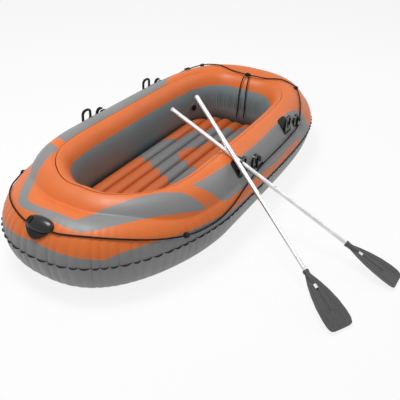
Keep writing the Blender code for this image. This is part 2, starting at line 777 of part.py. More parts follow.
def clip_outline():
    """Profile of the oar clip: a hooked arm forward that curls aft over its mouth, and a block."""
    front, back = CLIP_LENGTH / 2, -CLIP_LENGTH / 2
    outer, inner = CLIP_HOOK_RADIUS, CLIP_HOOK_RADIUS - CLIP_ARM
    middle_x, middle_z = front - outer, CLIP_HEIGHT - outer
    outline = [(back, -RING_ROOT), (front, -RING_ROOT), (front, middle_z)]
    for k in range(1, CLIP_HOOK_STEPS + 1):
        turn = CLIP_HOOK_TURN * k / CLIP_HOOK_STEPS
        outline.append((middle_x + outer * math.cos(turn), middle_z + outer * math.sin(turn)))
    for k in range(CLIP_HOOK_STEPS + 1):
        turn = CLIP_HOOK_TURN - CLIP_MOUTH_TURN * k / CLIP_HOOK_STEPS
        outline.append((middle_x + inner * math.cos(turn), middle_z + inner * math.sin(turn)))
    lip = (middle_x - outer, middle_z + inner * CLIP_MOUTH_LIP)
    return [*outline, lip, CLIP_BLOCK_BACK, CLIP_BLOCK_FOOT]


def make_clip(name, x, side, seats, mat):
    frame = upright_frame(x, CLIP_INSET, side)
    clip = standing(name, clip_outline(), CLIP_DEPTH, mat, frame)
    half = CLIP_DEPTH / 2 + CLIP_BOSS_PROUD
    boss = turned(name + "_boss", [(0, -half), (CLIP_BOSS_RADIUS, -half),
                                   (CLIP_BOSS_RADIUS, half), (0, half)], BOSS_SIDES, mat)
    boss_x, boss_z = CLIP_BOSS_PLACE
    boss.matrix_world = (frame @ Matrix.Translation((boss_x, 0, boss_z))
                         @ Matrix.Rotation(math.radians(90), 4, "X"))
    tail_outline = rounded_rectangle(CLIP_TAIL_LENGTH, CLIP_TAIL_WIDTH, CLIP_TAIL_CORNER)
    tail = plate(name + "_tail", tail_outline, -RING_ROOT, CLIP_TAIL_HEIGHT, mat)
    tail_x, outboard = CLIP_TAIL_PLACE
    tail.matrix_world = frame @ Matrix.Translation((tail_x, side * outboard, 0))
    for other in (boss, tail):
        boolean(clip, other, "UNION")
    boolean(clip, seats["hull"], "DIFFERENCE")
    return boolean(clip, seats["rope"], "DIFFERENCE")


def make_guide(name, frame, seats, mat):
    """A round moulded holder with the grab line through it."""
    crown = [(GUIDE_RADIUS * r, GUIDE_HEIGHT * z) for r, z in GUIDE_CROWN_SHARES]
    profile = [(0, -GUIDE_HEIGHT / 2), (GUIDE_RADIUS, -GUIDE_HEIGHT / 2), *crown,
               (0, GUIDE_HEIGHT)]
    guide = turned(name, profile, ROUND_SIDES, mat)
    guide.matrix_world = frame
    boolean(guide, seats["hull"], "DIFFERENCE")
    return boolean(guide, seats["rope"], "DIFFERENCE")


def make_handle(seats, grip_points, mat):
    frame = surface_frame(surface_point, HANDLE_X, 0.0, HANDLE_TURN)
    bm = bmesh.new()
    bmesh.ops.create_uvsphere(bm, u_segments=28, v_segments=12, radius=1.0)
    shape = Matrix.Diagonal((HANDLE_SPAN / 2, HANDLE_LENGTH / 2, HANDLE_HEIGHT, 1.0))
    bmesh.ops.transform(bm, matrix=shape, verts=bm.verts)
    base = add_object("bow_handle_base", bm, mat)
    base.matrix_world = frame
    boss = turned("bow_handle_boss", [(0, 0), (HANDLE_BOSS_RADIUS, 0),
                                      (HANDLE_BOSS_RADIUS, HANDLE_BOSS_HEIGHT),
                                      (0, HANDLE_BOSS_HEIGHT)], BOSS_SIDES, mat)
    boss.matrix_world = frame @ Matrix.Translation((HANDLE_BOSS_OFFSET, 0, 0))
    boolean(base, boss, "UNION")
    boolean(base, seats["hull"], "DIFFERENCE")
    boolean(base, seats["rope"], "DIFFERENCE")
    socket = bar("bow_handle_socket", grip_points, GRIP_CLEARANCE, mat)
    return boolean(base, socket, "DIFFERENCE")


def bar(name, frames, grow, mat):
    """A flattened bar through a list of frames, with each frame's z axis across its thickness."""
    bm = bmesh.new()
    rings = []
    for k, frame in enumerate(frames):
        end = {0: -1, len(frames) - 1: 1}.get(k, 0)
        before = frames[max(k - 1, 0)].translation
        after = frames[min(k + 1, len(frames) - 1)].translation
        along = (after - before).normalized()
        up = frame.col[2].to_3d()
        across = up.cross(along).normalized()
        up = along.cross(across)
        ring = []
        for j in range(ROPE_SIDES):
            turn = 2 * math.pi * j / ROPE_SIDES
            ring.append(frame.translation + along * end * grow
                        + across * (GRIP_WIDTH / 2 + grow) * math.cos(turn)
                        + up * (GRIP_THICKNESS / 2 + grow) * math.sin(turn))
        rings.append(ring)
    loft(bm, rings)
    return add_object(name, bm, mat, SOFT_EDGE)


def grip_frames():
    """Frames from the starboard end of the grip over its middle to the port end."""
    places = [*reversed(mirrored(PORT_GRIP)), *PORT_GRIP[1:]]
    frames = []
    for x, y, turn in places:
        frame = surface_frame(surface_point, x, y, turn)
        frames.append(frame @ Matrix.Translation((0, 0, GRIP_LIFT + GRIP_THICKNESS / 2)))
    return frames


def make_knot(seats, mat):
    """The knot that joins the grab line's two ends at the stern."""
    bm = bmesh.new()
    bmesh.ops.create_uvsphere(bm, u_segments=16, v_segments=10, radius=1.0)
    shape = Matrix.Diagonal((KNOT_WIDTH / 2, KNOT_LENGTH / 2, KNOT_HEIGHT / 2, 1.0))
    bmesh.ops.transform(bm, matrix=shape, verts=bm.verts)
    knot = add_object("stern_knot", bm, mat)
    knot.matrix_world = Matrix.Translation(on_hull(KNOT_X, 0.0) + Vector((0, 0, KNOT_RISE)))
    for seat in ("wall", "hull", "rope"):
        boolean(knot, seats[seat], "DIFFERENCE")
    return knot


# Valves

def make_valve(name, frame, seat, flange_mat, cap_mat):
    """A screw valve: a welded flange with a bored neck, and a ribbed cap on it."""
    flange, neck = VALVE_FLANGE_THICKNESS, VALVE_FLANGE_THICKNESS + VALVE_NECK_HEIGHT
    profile = [(VALVE_BORE_RADIUS, -RING_ROOT / 2), (VALVE_FLANGE_RADIUS, -RING_ROOT / 2),
               (VALVE_FLANGE_RADIUS, flange), (VALVE_NECK_RADIUS, flange),
               (VALVE_NECK_RADIUS, neck), (VALVE_BORE_RADIUS, neck)]
    body = turned(name + "_body", profile, 24, flange_mat)
    body.matrix_world = frame
    boolean(body, seat, "DIFFERENCE")
    low, inside = flange + GAP, neck + GAP
    cap_inner = VALVE_NECK_RADIUS + GAP
    cap = turned(name + "_cap", [(0, inside), (cap_inner, inside), (cap_inner, low),
                                 (CAP_RADIUS, low), (CAP_RADIUS, inside + CAP_TOP / 2),
                                 (CAP_RADIUS - CAP_TOP / 2, inside + CAP_TOP),
                                 (0, inside + CAP_TOP)], 2 * CAP_RIBS, cap_mat, flute=CAP_FLUTE)
    cap.matrix_world = frame
    return cap


def make_floor_valve(mat):
    frame = Matrix.Translation((FLOOR_VALVE_X, -floor_crest(), FLOOR_TOP + GAP))
    body = tube("floor_valve_body", FLOOR_VALVE_BORE, FLOOR_VALVE_RADIUS, 0.0, FLOOR_VALVE_HEIGHT,
                ROUND_SIDES, mat)
    body.matrix_world = frame
    low, high = FLOOR_VALVE_HEIGHT + GAP, FLOOR_VALVE_HEIGHT + GAP + PLUG_TOP_THICKNESS
    stem_top, stem_end = PLUG_STEM_RADII
    profile = [(0, low - PLUG_STEM_LENGTH), (stem_end, low - PLUG_STEM_LENGTH), (stem_top, low),
               (PLUG_TOP_RADIUS, low), (PLUG_TOP_RADIUS, high), (0, high)]
    plug = turned("floor_valve_plug", profile, ROUND_SIDES, mat)
    length = PLUG_PIVOT + PLUG_STRAP_WIDTH / 2 - PLUG_STRAP_START
    outline = rounded_rectangle(length, PLUG_STRAP_WIDTH, PLUG_STRAP_CORNER, 1)
    strap = plate("floor_valve_strap", outline, low + GAP, high - GAP, mat)
    pivot = Matrix.Translation((PLUG_PIVOT, 0, low + GAP))
    strap.data.transform(Matrix.Translation((PLUG_STRAP_START + length / 2, 0, 0)))
    for obj in (plug, strap):
        obj.data.transform(pivot.inverted())
        obj.matrix_world = frame @ pivot
    return boolean(plug, strap, "UNION")


# Oars

def oar_frame(tip, passing):
    """Frame of an oar: its origin at the passing place, x to the handle, z on the upper side."""
    tip, passing = Vector(tip), Vector(passing)
    along = (passing - tip).normalized()
    across = Vector((0, 0, 1)).cross(along).normalized()
    up = along.cross(across)
    turn = Matrix((along, across, up)).transposed().to_4x4()
    return Matrix.Translation(passing) @ turn, (passing - tip).length


def blade_rings():
    """Sections across the blade, from its tip to its neck."""
    rings = []
    for length_share, width_share in BLADE_OUTLINE_SHARES:
        x, width = BLADE_LENGTH * length_share, BLADE_WIDTH * width_share
        ys = [width * (j / BLADE_COLUMNS - 0.5) for j in range(BLADE_COLUMNS + 1)]
        lows = [-BLADE_THICKNESS / 2 + BLADE_CAMBER * (2 * y / BLADE_WIDTH) ** 2 for y in ys]
        top = [Vector((x, y, z + BLADE_THICKNESS)) for y, z in zip(ys, lows)]
        under = [Vector((x, y, z)) for y, z in zip(ys, lows)]
        rings.append([*top, *under[::-1]])
    return rings


def along_tube(name, inner, outer, start, end, shift, mat):
    """A tube along x between two places measured from the blade's tip."""
    obj = tube(name, inner, outer, start - shift, end - shift, ROUND_SIDES, mat)
    obj.data.transform(Matrix.Rotation(math.radians(90), 4, "Y"))
    return obj


def along_rod(name, radius, start, end, shift, mat):
    obj = turned(name, [(0, start - shift), (radius, start - shift), (radius, end - shift),
                        (0, end - shift)], ROUND_SIDES, mat)
    obj.data.transform(Matrix.Rotation(math.radians(90), 4, "Y"))
    return obj


def make_oar(label, passing, run, mats):
    """A two-piece oar, its pieces drawn from the place where its axis passes over the tube."""
    tip = (passing[0] + run[0], passing[1] + run[1], TIP_HEIGHT)
    frame, shift = oar_frame(tip, passing)
    bm = bmesh.new()
    loft(bm, [[p - Vector((shift, 0, 0)) for p in ring] for ring in blade_rings()])
    blade = add_object(label + "_blade", bm, mats["blade"])
    socket_radius = LOWER_RADIUS + GAP
    socket = along_rod(label + "_socket", socket_radius + SOCKET_WALL, SOCKET_START - SOCKET_WALL,
                       SOCKET_END, shift, mats["blade"])
    bore = along_rod(label + "_bore", socket_radius, SOCKET_START, SOCKET_END + OVERRUN, shift,
                     mats["blade"])
    boolean(blade, socket, "UNION")
    boolean(blade, bore, "DIFFERENCE")
    lower_end = SECTION_JOINT + SHAFT_OVERLAP
    lower = along_tube(label + "_lower_shaft", LOWER_RADIUS - TUBE_WALL, LOWER_RADIUS,
                       SOCKET_START + GAP, lower_end, shift, mats["metal"])
    upper = along_tube(label + "_upper_shaft", LOWER_RADIUS + GAP, UPPER_RADIUS,
                       SECTION_JOINT, OAR_LENGTH - PLUG_HEAD - GAP, shift, mats["metal"])
    button_x = SECTION_JOINT + BUTTON_FROM_JOINT
    for shaft in (lower, upper):
        hole = turned(shaft.name + "_hole", [(0, 0), (BUTTON_RADIUS + GAP, 0),
                                             (BUTTON_RADIUS + GAP, UPPER_RADIUS + OVERRUN),
                                             (0, UPPER_RADIUS + OVERRUN)], PIN_SIDES,
                      mats["metal"])
        hole.matrix_world = frame @ Matrix.Translation((button_x - shift, 0, 0))
        shaft.matrix_world = frame
        boolean(shaft, hole, "DIFFERENCE")
    plug_head = along_rod(label + "_end_plug", UPPER_RADIUS, OAR_LENGTH - PLUG_HEAD, OAR_LENGTH,
                          shift, mats["plug"])
    plug_stem = along_rod(label + "_plug_stem", LOWER_RADIUS,
                          OAR_LENGTH - PLUG_HEAD - PLUG_DEPTH, OAR_LENGTH - PLUG_HEAD / 2, shift,
                          mats["plug"])
    boolean(plug_head, plug_stem, "UNION")
    for obj in (blade, socket, bore, plug_head, plug_stem):
        obj.matrix_world = frame
    make_button(label, frame @ Matrix.Translation((button_x - shift, 0, 0)), mats["button"])


def make_button(label, frame, mat):
    """The snap button, which stands through both shafts on a flange inside the lower one."""
    seat = LOWER_RADIUS - TUBE_WALL
    flange_top = math.sqrt(seat ** 2 - BUTTON_FLANGE_RADIUS ** 2) - GAP
    flange_low = flange_top - BUTTON_FLANGE_THICKNESS
    top = UPPER_RADIUS + BUTTON_PROUD
    button = turned(label + "_snap_button",
                    [(0, flange_low), (BUTTON_FLANGE_RADIUS, flange_low),
                     (BUTTON_FLANGE_RADIUS, flange_top), (BUTTON_RADIUS, flange_top),
                     (BUTTON_RADIUS, top - BUTTON_SHOULDER_DROP),
                     (BUTTON_TIP_RADIUS, top - BUTTON_TIP_DROP), (0, top)], PIN_SIDES, mat)
    button.matrix_world = frame
    return button


def main():
    clear_scene()
    hull_orange = material("hull_orange", ORANGE, 0.45)
    hull_grey = material("hull_grey", GREY, 0.45)
    black = material("moulded_black", BLACK, 0.4)
    patch_black = material("patch_black", BLADE_GREY, 0.5)
    rope_black = material("rope_black", BLACK, 0.8)
    clear = material("clear_vinyl", CLEAR_PINK, 0.2)
    oar_mats = {"blade": material("blade_plastic", BLADE_GREY, 0.45),
                "metal": material("aluminium", ALUMINIUM, 0.3, 1.0),
                "plug": material("plug_plastic", PLUG_WHITE, 0.5),
                "button": material("button_steel", GREY, 0.35, 1.0)}
    make_bottom_sheet(hull_grey)
    chamber("outer_chamber", outer_section, hull_orange)
    chamber("inner_chamber", inner_section, hull_grey)
    make_seam_flange(patch_black)
    make_floor(hull_orange)

    half_route = rope_points(PORT_ROUTE)
    other_route = rope_points(mirrored(PORT_ROUTE))
    whole_route = [*reversed(other_route), *half_route]
    cord("grab_line", whole_route, ROPE_RADIUS, rope_black)
    over = (whole_route[-1] - whole_route[-2]).normalized() * ROPE_CLEARANCE
    under = (whole_route[0] - whole_route[1]).normalized() * ROPE_CLEARANCE
    fat_route = [whole_route[0] + under, *whole_route[1:-1], whole_route[-1] + over]
    shell = PATCH_THICKNESS + GAP
    seats = {"hull": chamber_seat("hull_seat", outer_section, GAP, hull_grey),
             "patch_top": chamber_seat("patch_top_seat", outer_section, shell, hull_grey),
             "ring": chamber_seat("ring_seat", outer_section, shell + GAP, hull_grey),
             "wall": chamber_seat("wall_seat", inner_section, GAP, hull_grey),
             "rope": rope_bore("rope_bore", fat_route, ROPE_RADIUS + ROPE_CLEARANCE, black)}

    for side, side_name in ((1, "port"), (-1, "starboard")):
        for x, end in ((LOCK_FORWARD_X, "forward"), (LOCK_AFT_X, "aft")):
            label = side_name + "_" + end
            make_patch("rowlock_patch_" + label, x, side, seats, patch_black)
            make_ring("rowlock_ring_" + label, x, side, seats, black)
            make_clip("oar_clip_" + label, x - CLIP_SPACING, side, seats, black)
        route = PORT_ROUTE if side == 1 else mirrored(PORT_ROUTE)
        for place, end in ((BOW_GUIDE, "bow"), (STERN_GUIDE, "stern")):
            make_guide("rope_guide_" + side_name + "_" + end, route_frame(*route[place][:3]),
                       seats, black)

    grips = grip_frames()
    bar("bow_handle_grip", grips, 0.0, black)
    make_handle(seats, grips, black)
    make_knot(seats, rope_black)
    for name, tail in (("rope_tail_port", PORT_TAIL), ("rope_tail_starboard", STARBOARD_TAIL)):
        cord(name, smooth_points([Vector(p) for p in tail], TAIL_BEND), ROPE_RADIUS, rope_black)

    make_valve("inner_valve", surface_frame(wall_point, *VALVE_PLACE, VALVE_TURN),
               seats["wall"], hull_grey, black)
    make_valve("outer_valve", surface_frame(surface_point, *OUTER_VALVE_PLACE, OUTER_VALVE_TURN),
               seats["hull"], hull_grey, black)
    make_floor_valve(clear)
    make_oar("port_oar", PORT_OAR_PASS, PORT_OAR_RUN, oar_mats)
    make_oar("loose_oar", LOOSE_OAR_PASS, LOOSE_OAR_RUN, oar_mats)


main()
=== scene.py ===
import bisect
import json
import math
import random

import bmesh
import bpy
import numpy as np
from mathutils import Matrix, Vector


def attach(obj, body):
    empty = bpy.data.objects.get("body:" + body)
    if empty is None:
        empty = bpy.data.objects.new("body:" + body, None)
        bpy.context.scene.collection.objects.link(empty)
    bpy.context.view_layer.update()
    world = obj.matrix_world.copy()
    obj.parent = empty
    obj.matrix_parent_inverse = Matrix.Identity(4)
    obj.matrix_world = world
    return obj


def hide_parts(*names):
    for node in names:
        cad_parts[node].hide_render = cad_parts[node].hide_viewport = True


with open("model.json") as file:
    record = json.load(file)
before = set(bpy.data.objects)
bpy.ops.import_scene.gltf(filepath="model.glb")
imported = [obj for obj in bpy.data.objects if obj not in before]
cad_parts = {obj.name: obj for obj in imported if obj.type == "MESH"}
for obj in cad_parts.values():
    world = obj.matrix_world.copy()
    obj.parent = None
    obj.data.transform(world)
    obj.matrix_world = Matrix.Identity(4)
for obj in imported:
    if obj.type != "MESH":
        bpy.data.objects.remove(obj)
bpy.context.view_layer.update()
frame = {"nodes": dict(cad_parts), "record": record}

MM = 0.001

# Camera, as in the photograph
VIEW_AZIMUTH = math.radians(119.03)
VIEW_ELEVATION = math.radians(32.93)
VIEW_ROLL = math.radians(2.52)
VIEW_TARGET = (0.334, 0.351, 0.15)
VIEW_DISTANCE = 3.23
SENSOR = 36.0
LENS = 52.16
NEAREST, FARTHEST = 0.1, 50.0

# Hull, with the driving sizes of the frame's chambers
HULL_LENGTH = 2.52
HULL_WIDTH = 1.22
WIDEST_FROM_MIDDLE = 0.42
SEAM_HEIGHT = 0.205
BASE_Z = 1.3 * MM
FLANGE_REACH = 7.0 * MM
HALF_LENGTH = HULL_LENGTH / 2 - FLANGE_REACH
HALF_WIDTH = HULL_WIDTH / 2 - FLANGE_REACH
SPINE_BOW = 0.62
SPINE_STERN = -0.66
BOW_POWER_SHARES = (1.62, 2.45)
STERN_POWER_SHARES = (5.4, 2.25)
RING_WIDTH = (0.300, 0.480, 0.420)
INNER_LOBE_WIDTH = (0.090, 0.120, 0.100)
MAIN_LOBE_START = (0.034, 0.185, 0.030)
MAIN_LOBE_HALF = (0.142, 0.190, 0.195)
MAIN_LOBE_TOP = (0.412, 0.420, 0.420)
LOWER_TUBE_HALF = (0.150, 0.165, 0.180)
LOWER_TUBE_TOP = (0.330, 0.378, 0.385)
INNER_LOBE_HALF = (0.100, 0.150, 0.120)
INNER_LOBE_TOP = (0.402, 0.408, 0.408)
FLAT_DEPTH = 8.0 * MM
SKIN_INSET = 0.8 * MM         # the smooth skin lies between the flats of the frame's solids
WALL_GAP = 0.02 * MM
WALL_BLEND = 14.0             # degrees of turn over which the skin comes out to the wall's corners
CREASE_SHARPNESS = 60
CREASE_DIP = 0.6 * MM         # how far the skins dip together over the wall between the chambers
CREASE_BLEND = 0.026          # length of skin over which each one comes down to that crease
REACH_HALVINGS = 40

# Grids: steps along the hull, and the sections' points above and below the seam
SKIN_STEP = 6 * MM
COARSE_STEP = 12 * MM
FINE_STEP = 3 * MM
OUTLINE_STEP = 20 * MM
ROUND_POINTS = 32
ROUNDING_STEPS = 3
SOFT_EDGE = 60                # degrees from which an edge of a smooth mesh is kept sharp
MOULDED_EDGE = 50
FIRM_EDGE = 40
FINE_FROM = 1.9               # way round the hull from which the folded stern wall needs fine steps
OUTER_COUNTS = (60, 40)
INNER_COUNTS = (36, 24)

# Way round the hull: 0 at the bow, positive to port, in metres along the skin
BOW_FAN_RADIUS = 0.55
STERN_FAN_RADIUS = 0.50
SIDE_RUN = SPINE_BOW - SPINE_STERN
BOW_END = BOW_FAN_RADIUS * math.pi / 2
STERN_START = BOW_END + SIDE_RUN
STERN_END = STERN_START + STERN_FAN_RADIUS * math.pi / 2

# A growth is (where it starts, its run) and a fade (where it ends, its run)
SHALLOWEST_FOLD = 0.55        # share of the deepest

# Puckers along the welded seam
PUCKER_WIDTHS = (0.036, 0.060)
PUCKER_DEPTH = 11.0 * MM
PUCKER_UP = 58.0              # how far above and below the seam they reach, in degrees of turn
PUCKER_DOWN = 74.0
PUCKER_BOW_FADE = (1.25, 0.7)
PUCKER_STERN_GROWTH = (2.0, 0.5)
PUCKER_AT_STERN = 0.8         # strengths, as shares of that at the bow
PUCKER_ALONG_SIDE = 0.22

# Flange: between two puckers it dips, draws in, sinks with the skin and thins out
FLANGE_WAVE = 3.0 * MM
FLANGE_WAVE_MIDDLE = 0.3
FLANGE_HALF = 1.2 * MM
FLANGE_DRAW = 0.45
FLANGE_SINK = 2.2
FLANGE_THINNING = 0.6

# Fine folds on the cockpit's wall at the stern
FOLD_PITCH = (0.016, 0.030)
FOLD_DEPTH = 11.0 * MM
FOLD_MIDDLE_TURN = 5.0
FOLD_TURN_FADE = (72.0, 35.0)
FOLD_STERN_GROWTH = (2.05, 0.25)
FOLD_BOW_FADE = (0.9, 0.4)
FOLD_AT_BOW = 0.25

# Floor
FLOOR_RIBS = 7
FLOOR_TOP = 0.098
FLOOR_GROOVE = 0.052
FLOOR_EDGE = 0.030
FLOOR_TUCK = 0.010
FLOOR_END_ROUND = 0.090
FLOOR_SCALLOP = 0.032         # how much further aft each colour edge lies on a rib's crest
RIB_STEPS = 16
FLOOR_STEPS = 150

# Colour panels on the outer chamber: (way round the hull, turn in the section in degrees)
DEGREE = 2.6 * MM             # length of skin for a degree of turn
BOW_BAND = (
    (0.893, 126), (0.749, 114), (0.614, 109), (0.518, 110), (0.413, 119), (0.288, 132),
    (0.211, 138), (0.182, 138), (0.029, 133), (-0.067, 133), (-0.182, 137), (-0.240, 136),
    (-0.336, 127), (-0.480, 116), (-0.605, 109), (-0.749, 112), (-0.850, 118), (-0.850, 88),
    (-0.790, 66), (-0.624, 76), (-0.499, 88), (-0.413, 102), (-0.200, 125), (0.048, 121),
    (0.144, 123), (0.163, 120), (0.230, 97), (0.346, 88), (0.470, 81), (0.605, 77),
    (0.691, 77), (0.749, 81), (0.806, 87), (0.854, 101), (0.875, 113),
)
SIDE_EDGE = (                 # lower edge of the panel that carries the rowlocks
    (1.983, 159), (1.808, 156), (1.640, 160), (1.529, 157), (1.310, 147), (1.123, 142),
    (1.044, 139), (1.010, 130), (0.966, 108), (0.923, 93),
)
STERN_EDGE = ((2.231, 142), (2.188, 153), (2.100, 164))
PORT_PANEL = (
    (0.897, 84), (1.039, 86), (1.203, 90), (1.356, 94), (1.508, 95), (1.684, 94), (1.871, 92),
    (2.026, 93), (2.122, 100), (2.195, 112), (2.223, 124), *STERN_EDGE, *SIDE_EDGE,
)
STARBOARD_PANEL = (
    (0.908, 80), (0.899, 60), (1.000, 60), (1.484, 66), (1.800, 64), (1.926, 68), (1.996, 75),
    (2.100, 88), (2.195, 106), (2.223, 124), *STERN_EDGE, *SIDE_EDGE,
)
LOWER_EDGE = (                # below it the skin is grey all round
    (0.010, 162), (0.125, 165), (0.250, 168), (0.307, 170), (0.346, 165), (0.394, 161),
    (0.509, 156), (0.566, 154), (0.672, 155), (0.806, 156), (0.929, 160), (1.043, 167),
    (1.175, 173), (1.328, 175), (1.794, 175), (1.981, 174), (2.010, 169), (2.040, 156),
    (2.180, 153), (2.250, 166), (2.320, 178), (2.930, 180),
)
LOWEST_TURN = 460             # below the whole skin
PANEL_MARGIN = 0.1
WALL_EDGE = 77.0              # turn of the colour edge on the inner chamber

# Colour panels on the floor, (x, y)
FLOOR_BOW = ((0.165, -0.40), (0.055, -0.24), (0.100, -0.15), (0.137, -0.07), (0.195, 0.033),
             (0.260, 0.18), (0.310, 0.40), (1.20, 0.40), (1.20, -0.40))
FLOOR_MIDDLE = ((-0.115, -0.100), (-0.080, -0.056), (-0.035, 0.047), (0.020, 0.180),
                (0.060, 0.40), (-0.85, 0.40), (-0.476, 0.106), (-0.392, 0.010),
                (-0.335, -0.022), (-0.250, -0.067))
FLOOR_STERN = ((-0.190, -0.40), (-0.212, -0.272), (-0.382, -0.200), (-0.493, -0.160),
               (-0.600, -0.050), (-0.640, 0.011), (-0.693, 0.089), (-0.800, 0.40),
               (-1.20, 0.40), (-1.20, -0.40))

# Loose ends of the grab line, by the frame's own points
ROPE_DIAMETER = 0.008
PORT_TAIL = ((-0.9104, 0.0149, 0.4172), (-0.880, 0.026, 0.3990), (-0.853, 0.031, 0.3550),
             (-0.837, 0.034, 0.2980), (-0.830, 0.037, 0.2350), (-0.829, 0.038, 0.1750),
             (-0.831, 0.035, 0.1200))
STARBOARD_TAIL = ((-0.9084, -0.0104, 0.4168), (-0.879, -0.015, 0.3990),
                  (-0.852, -0.016, 0.3550), (-0.836, -0.016, 0.2980), (-0.829, -0.014, 0.2350),
                  (-0.828, -0.017, 0.1750), (-0.830, -0.022, 0.1100))
TAIL_STEPS = 4

# Grab line: (x, y, turn in the section or None on top, lift off the skin)
ROPE_LIFT = 1.2 * MM
ROPE_GAP = 0.4 * MM
GUIDE_LIFT = 3.0 * MM
CREASE_LIFT = 1.2 * MM
ON_TOP = 0.050                # the rope is lifted straight up from this far outside the core
ROPE_STEPS = 14
ROPE_SIDES = 12
PORT_ROUTE = (
    (1.189, 0.050, 145.0, GUIDE_LIFT), (1.184, 0.114, 144.8, 0.0), (1.130, 0.235, 142.9, 0.0),
    (1.046, 0.342, 144.9, 0.0), (0.950, 0.432, 149.6, 0.0), (0.862, 0.490, 155.0, 0.0),
    (0.775, 0.533, 160.0, GUIDE_LIFT), (0.690, 0.562, 164.0, 0.0), (0.560, 0.590, 165.0, 0.0),
    (0.420, 0.595, 157.5, 0.0), (0.240, 0.583, 145.0, 0.0), (0.007, 0.563, 134.0, CREASE_LIFT),
    (-0.200, 0.562, 133.0, CREASE_LIFT), (-0.370, 0.558, 132.5, CREASE_LIFT),
    (-0.540, 0.550, 131.5, CREASE_LIFT), (-0.625, 0.530, 124.0, 0.0),
    (-0.710, 0.498, 109.5, 0.0), (-0.800, 0.452, None, 0.0), (-0.915, 0.372, None, GUIDE_LIFT),
    (-0.953, 0.270, None, CREASE_LIFT), (-0.953, 0.210, None, CREASE_LIFT),
    (-0.945, 0.140, None, CREASE_LIFT), (-0.932, 0.060, None, GUIDE_LIFT),
    (-0.926, 0.014, None, GUIDE_LIFT),
)

# Base of the bow handle: a domed pad and a round boss on it, each as (share of its size, lift)
HANDLE_X = 1.190
PAD_Y, PAD_TURN = -0.008, 141.8
PAD_HALF_SPAN = 0.078
PAD_HALF_TURN = 9.0
PAD_SQUARENESS = 2.3
PAD_RINGS = ((1.0, -1.0 * MM), (1.0, 5.0 * MM), (0.985, 10.0 * MM), (0.93, 15.0 * MM),
             (0.82, 19.0 * MM), (0.64, 22.5 * MM), (0.42, 24.8 * MM), (0.20, 26.0 * MM),
             (0.03, 26.3 * MM))
BOSS_Y, BOSS_TURN = -0.056, 141.0
BOSS_RADIUS = 0.0115
BOSS_RINGS = ((1.0, 15.0 * MM), (1.0, 28.0 * MM), (0.90, 29.5 * MM), (0.72, 29.5 * MM),
              (0.66, 26.5 * MM), (0.34, 26.5 * MM), (0.30, 29.0 * MM), (0.02, 29.0 * MM))
PAD_POINTS = 56
PAD_EDGE = 35

# Grip of the bow handle: its lower edge as (x, y, turn), and its section from that edge up to
# the handle's base as (share of the way up, lift off the skin)
GRIP_EDGE = ((1.238, 0.000, 159.5), (1.233, 0.020, 158.3), (1.222, 0.040, 155.0),
             (1.212, 0.056, 151.5), (1.205, 0.066, 148.0))
GRIP_TOP_TURN = 142.0
GRIP_SHIFT = -0.010
GRIP_STEPS = 5
GRIP_SECTION = ((0.0, 0.5 * MM), (0.0, 6.0 * MM), (0.03, 10.0 * MM), (0.09, 12.5 * MM),
                (0.20, 13.0 * MM), (0.30, 11.0 * MM), (0.40, 7.0 * MM), (0.60, 5.0 * MM),
                (1.0, 5.0 * MM), (1.0, 0.5 * MM))

# Oar clips at the frame's own places: a hook that opens for the oar, and the block that it
# grows from, each as a profile (forward, up) and a depth across
CLIP_PLACES = ((0.045, 0.54692, 0.31567), (-0.583, 0.52978, 0.31567))
CLIP_PROFILE = (
    (0.056, -0.050), (0.066, 0.000), (0.069, 0.030), (0.063, 0.053), (0.048, 0.067),
    (0.028, 0.070), (0.010, 0.063), (0.005, 0.052), (0.020, 0.054), (0.038, 0.052),
    (0.048, 0.042), (0.049, 0.028), (0.042, 0.018), (0.030, 0.015), (0.019, 0.020),
    (0.014, 0.034), (0.004, 0.040), (-0.020, 0.040), (-0.034, 0.028), (-0.050, 0.012),
    (-0.058, -0.012), (-0.056, -0.050),
)
CLIP_DEPTH = 0.014
BLOCK_PROFILE = (
    (0.020, 0.012), (0.014, 0.030), (0.004, 0.037), (-0.020, 0.037), (-0.033, 0.026),
    (-0.048, 0.010), (-0.056, -0.012), (-0.054, -0.050), (0.020, -0.050),
)
BLOCK_DEPTH = 0.030
CLIP_EDGE = 2.5 * MM
CLIP_BOSS = (-0.014, 0.020)
CLIP_BOSS_RADIUS = 0.0135
CLIP_BOSS_TAPER = 0.86
CLIP_BOSS_REACH = 0.020       # outboard from the clip's middle

# Oars, each as (its blade's tip, a point on its axis)
BLADE_LENGTH = 0.300
BLADE_WIDTH = 0.148
BLADE_OUTLINE_SHARES = ((0.000, 0.60), (0.012, 0.80), (0.033, 0.89), (0.10, 0.985), (0.23, 1.00),
                        (0.43, 0.93), (0.63, 0.76), (0.80, 0.54), (0.92, 0.34), (1.00, 0.20))
BLADE_THICKNESS = 4.0 * MM
BLADE_CAMBER = 0.010
PORT_OAR = ((0.255, 1.460, 0.012), (0.2190, 0.5375, 0.3884))
LOOSE_OAR = ((0.717, 1.327, 0.012), (0.2213, 0.4587, 0.4475))
SOCKET_START = 0.215
SOCKET_END = 0.318
SOCKET_RADIUS = 0.0143
SOCKET_PROFILE = (            # (share of its length, share of its radius)
    (0.00, 0.30), (0.10, 0.62), (0.30, 0.86), (0.60, 1.0), (0.86, 1.0), (0.87, 1.12),
    (0.97, 1.14), (1.00, 1.06), (1.0, 0.80), (0.93, 0.78),
)
BLADE_STEPS, BLADE_COLUMNS = 90, 72
TIP_CROWDING = 1.3            # steps along the blade are shorter at its tip
EDGE_SQUARENESS = 8

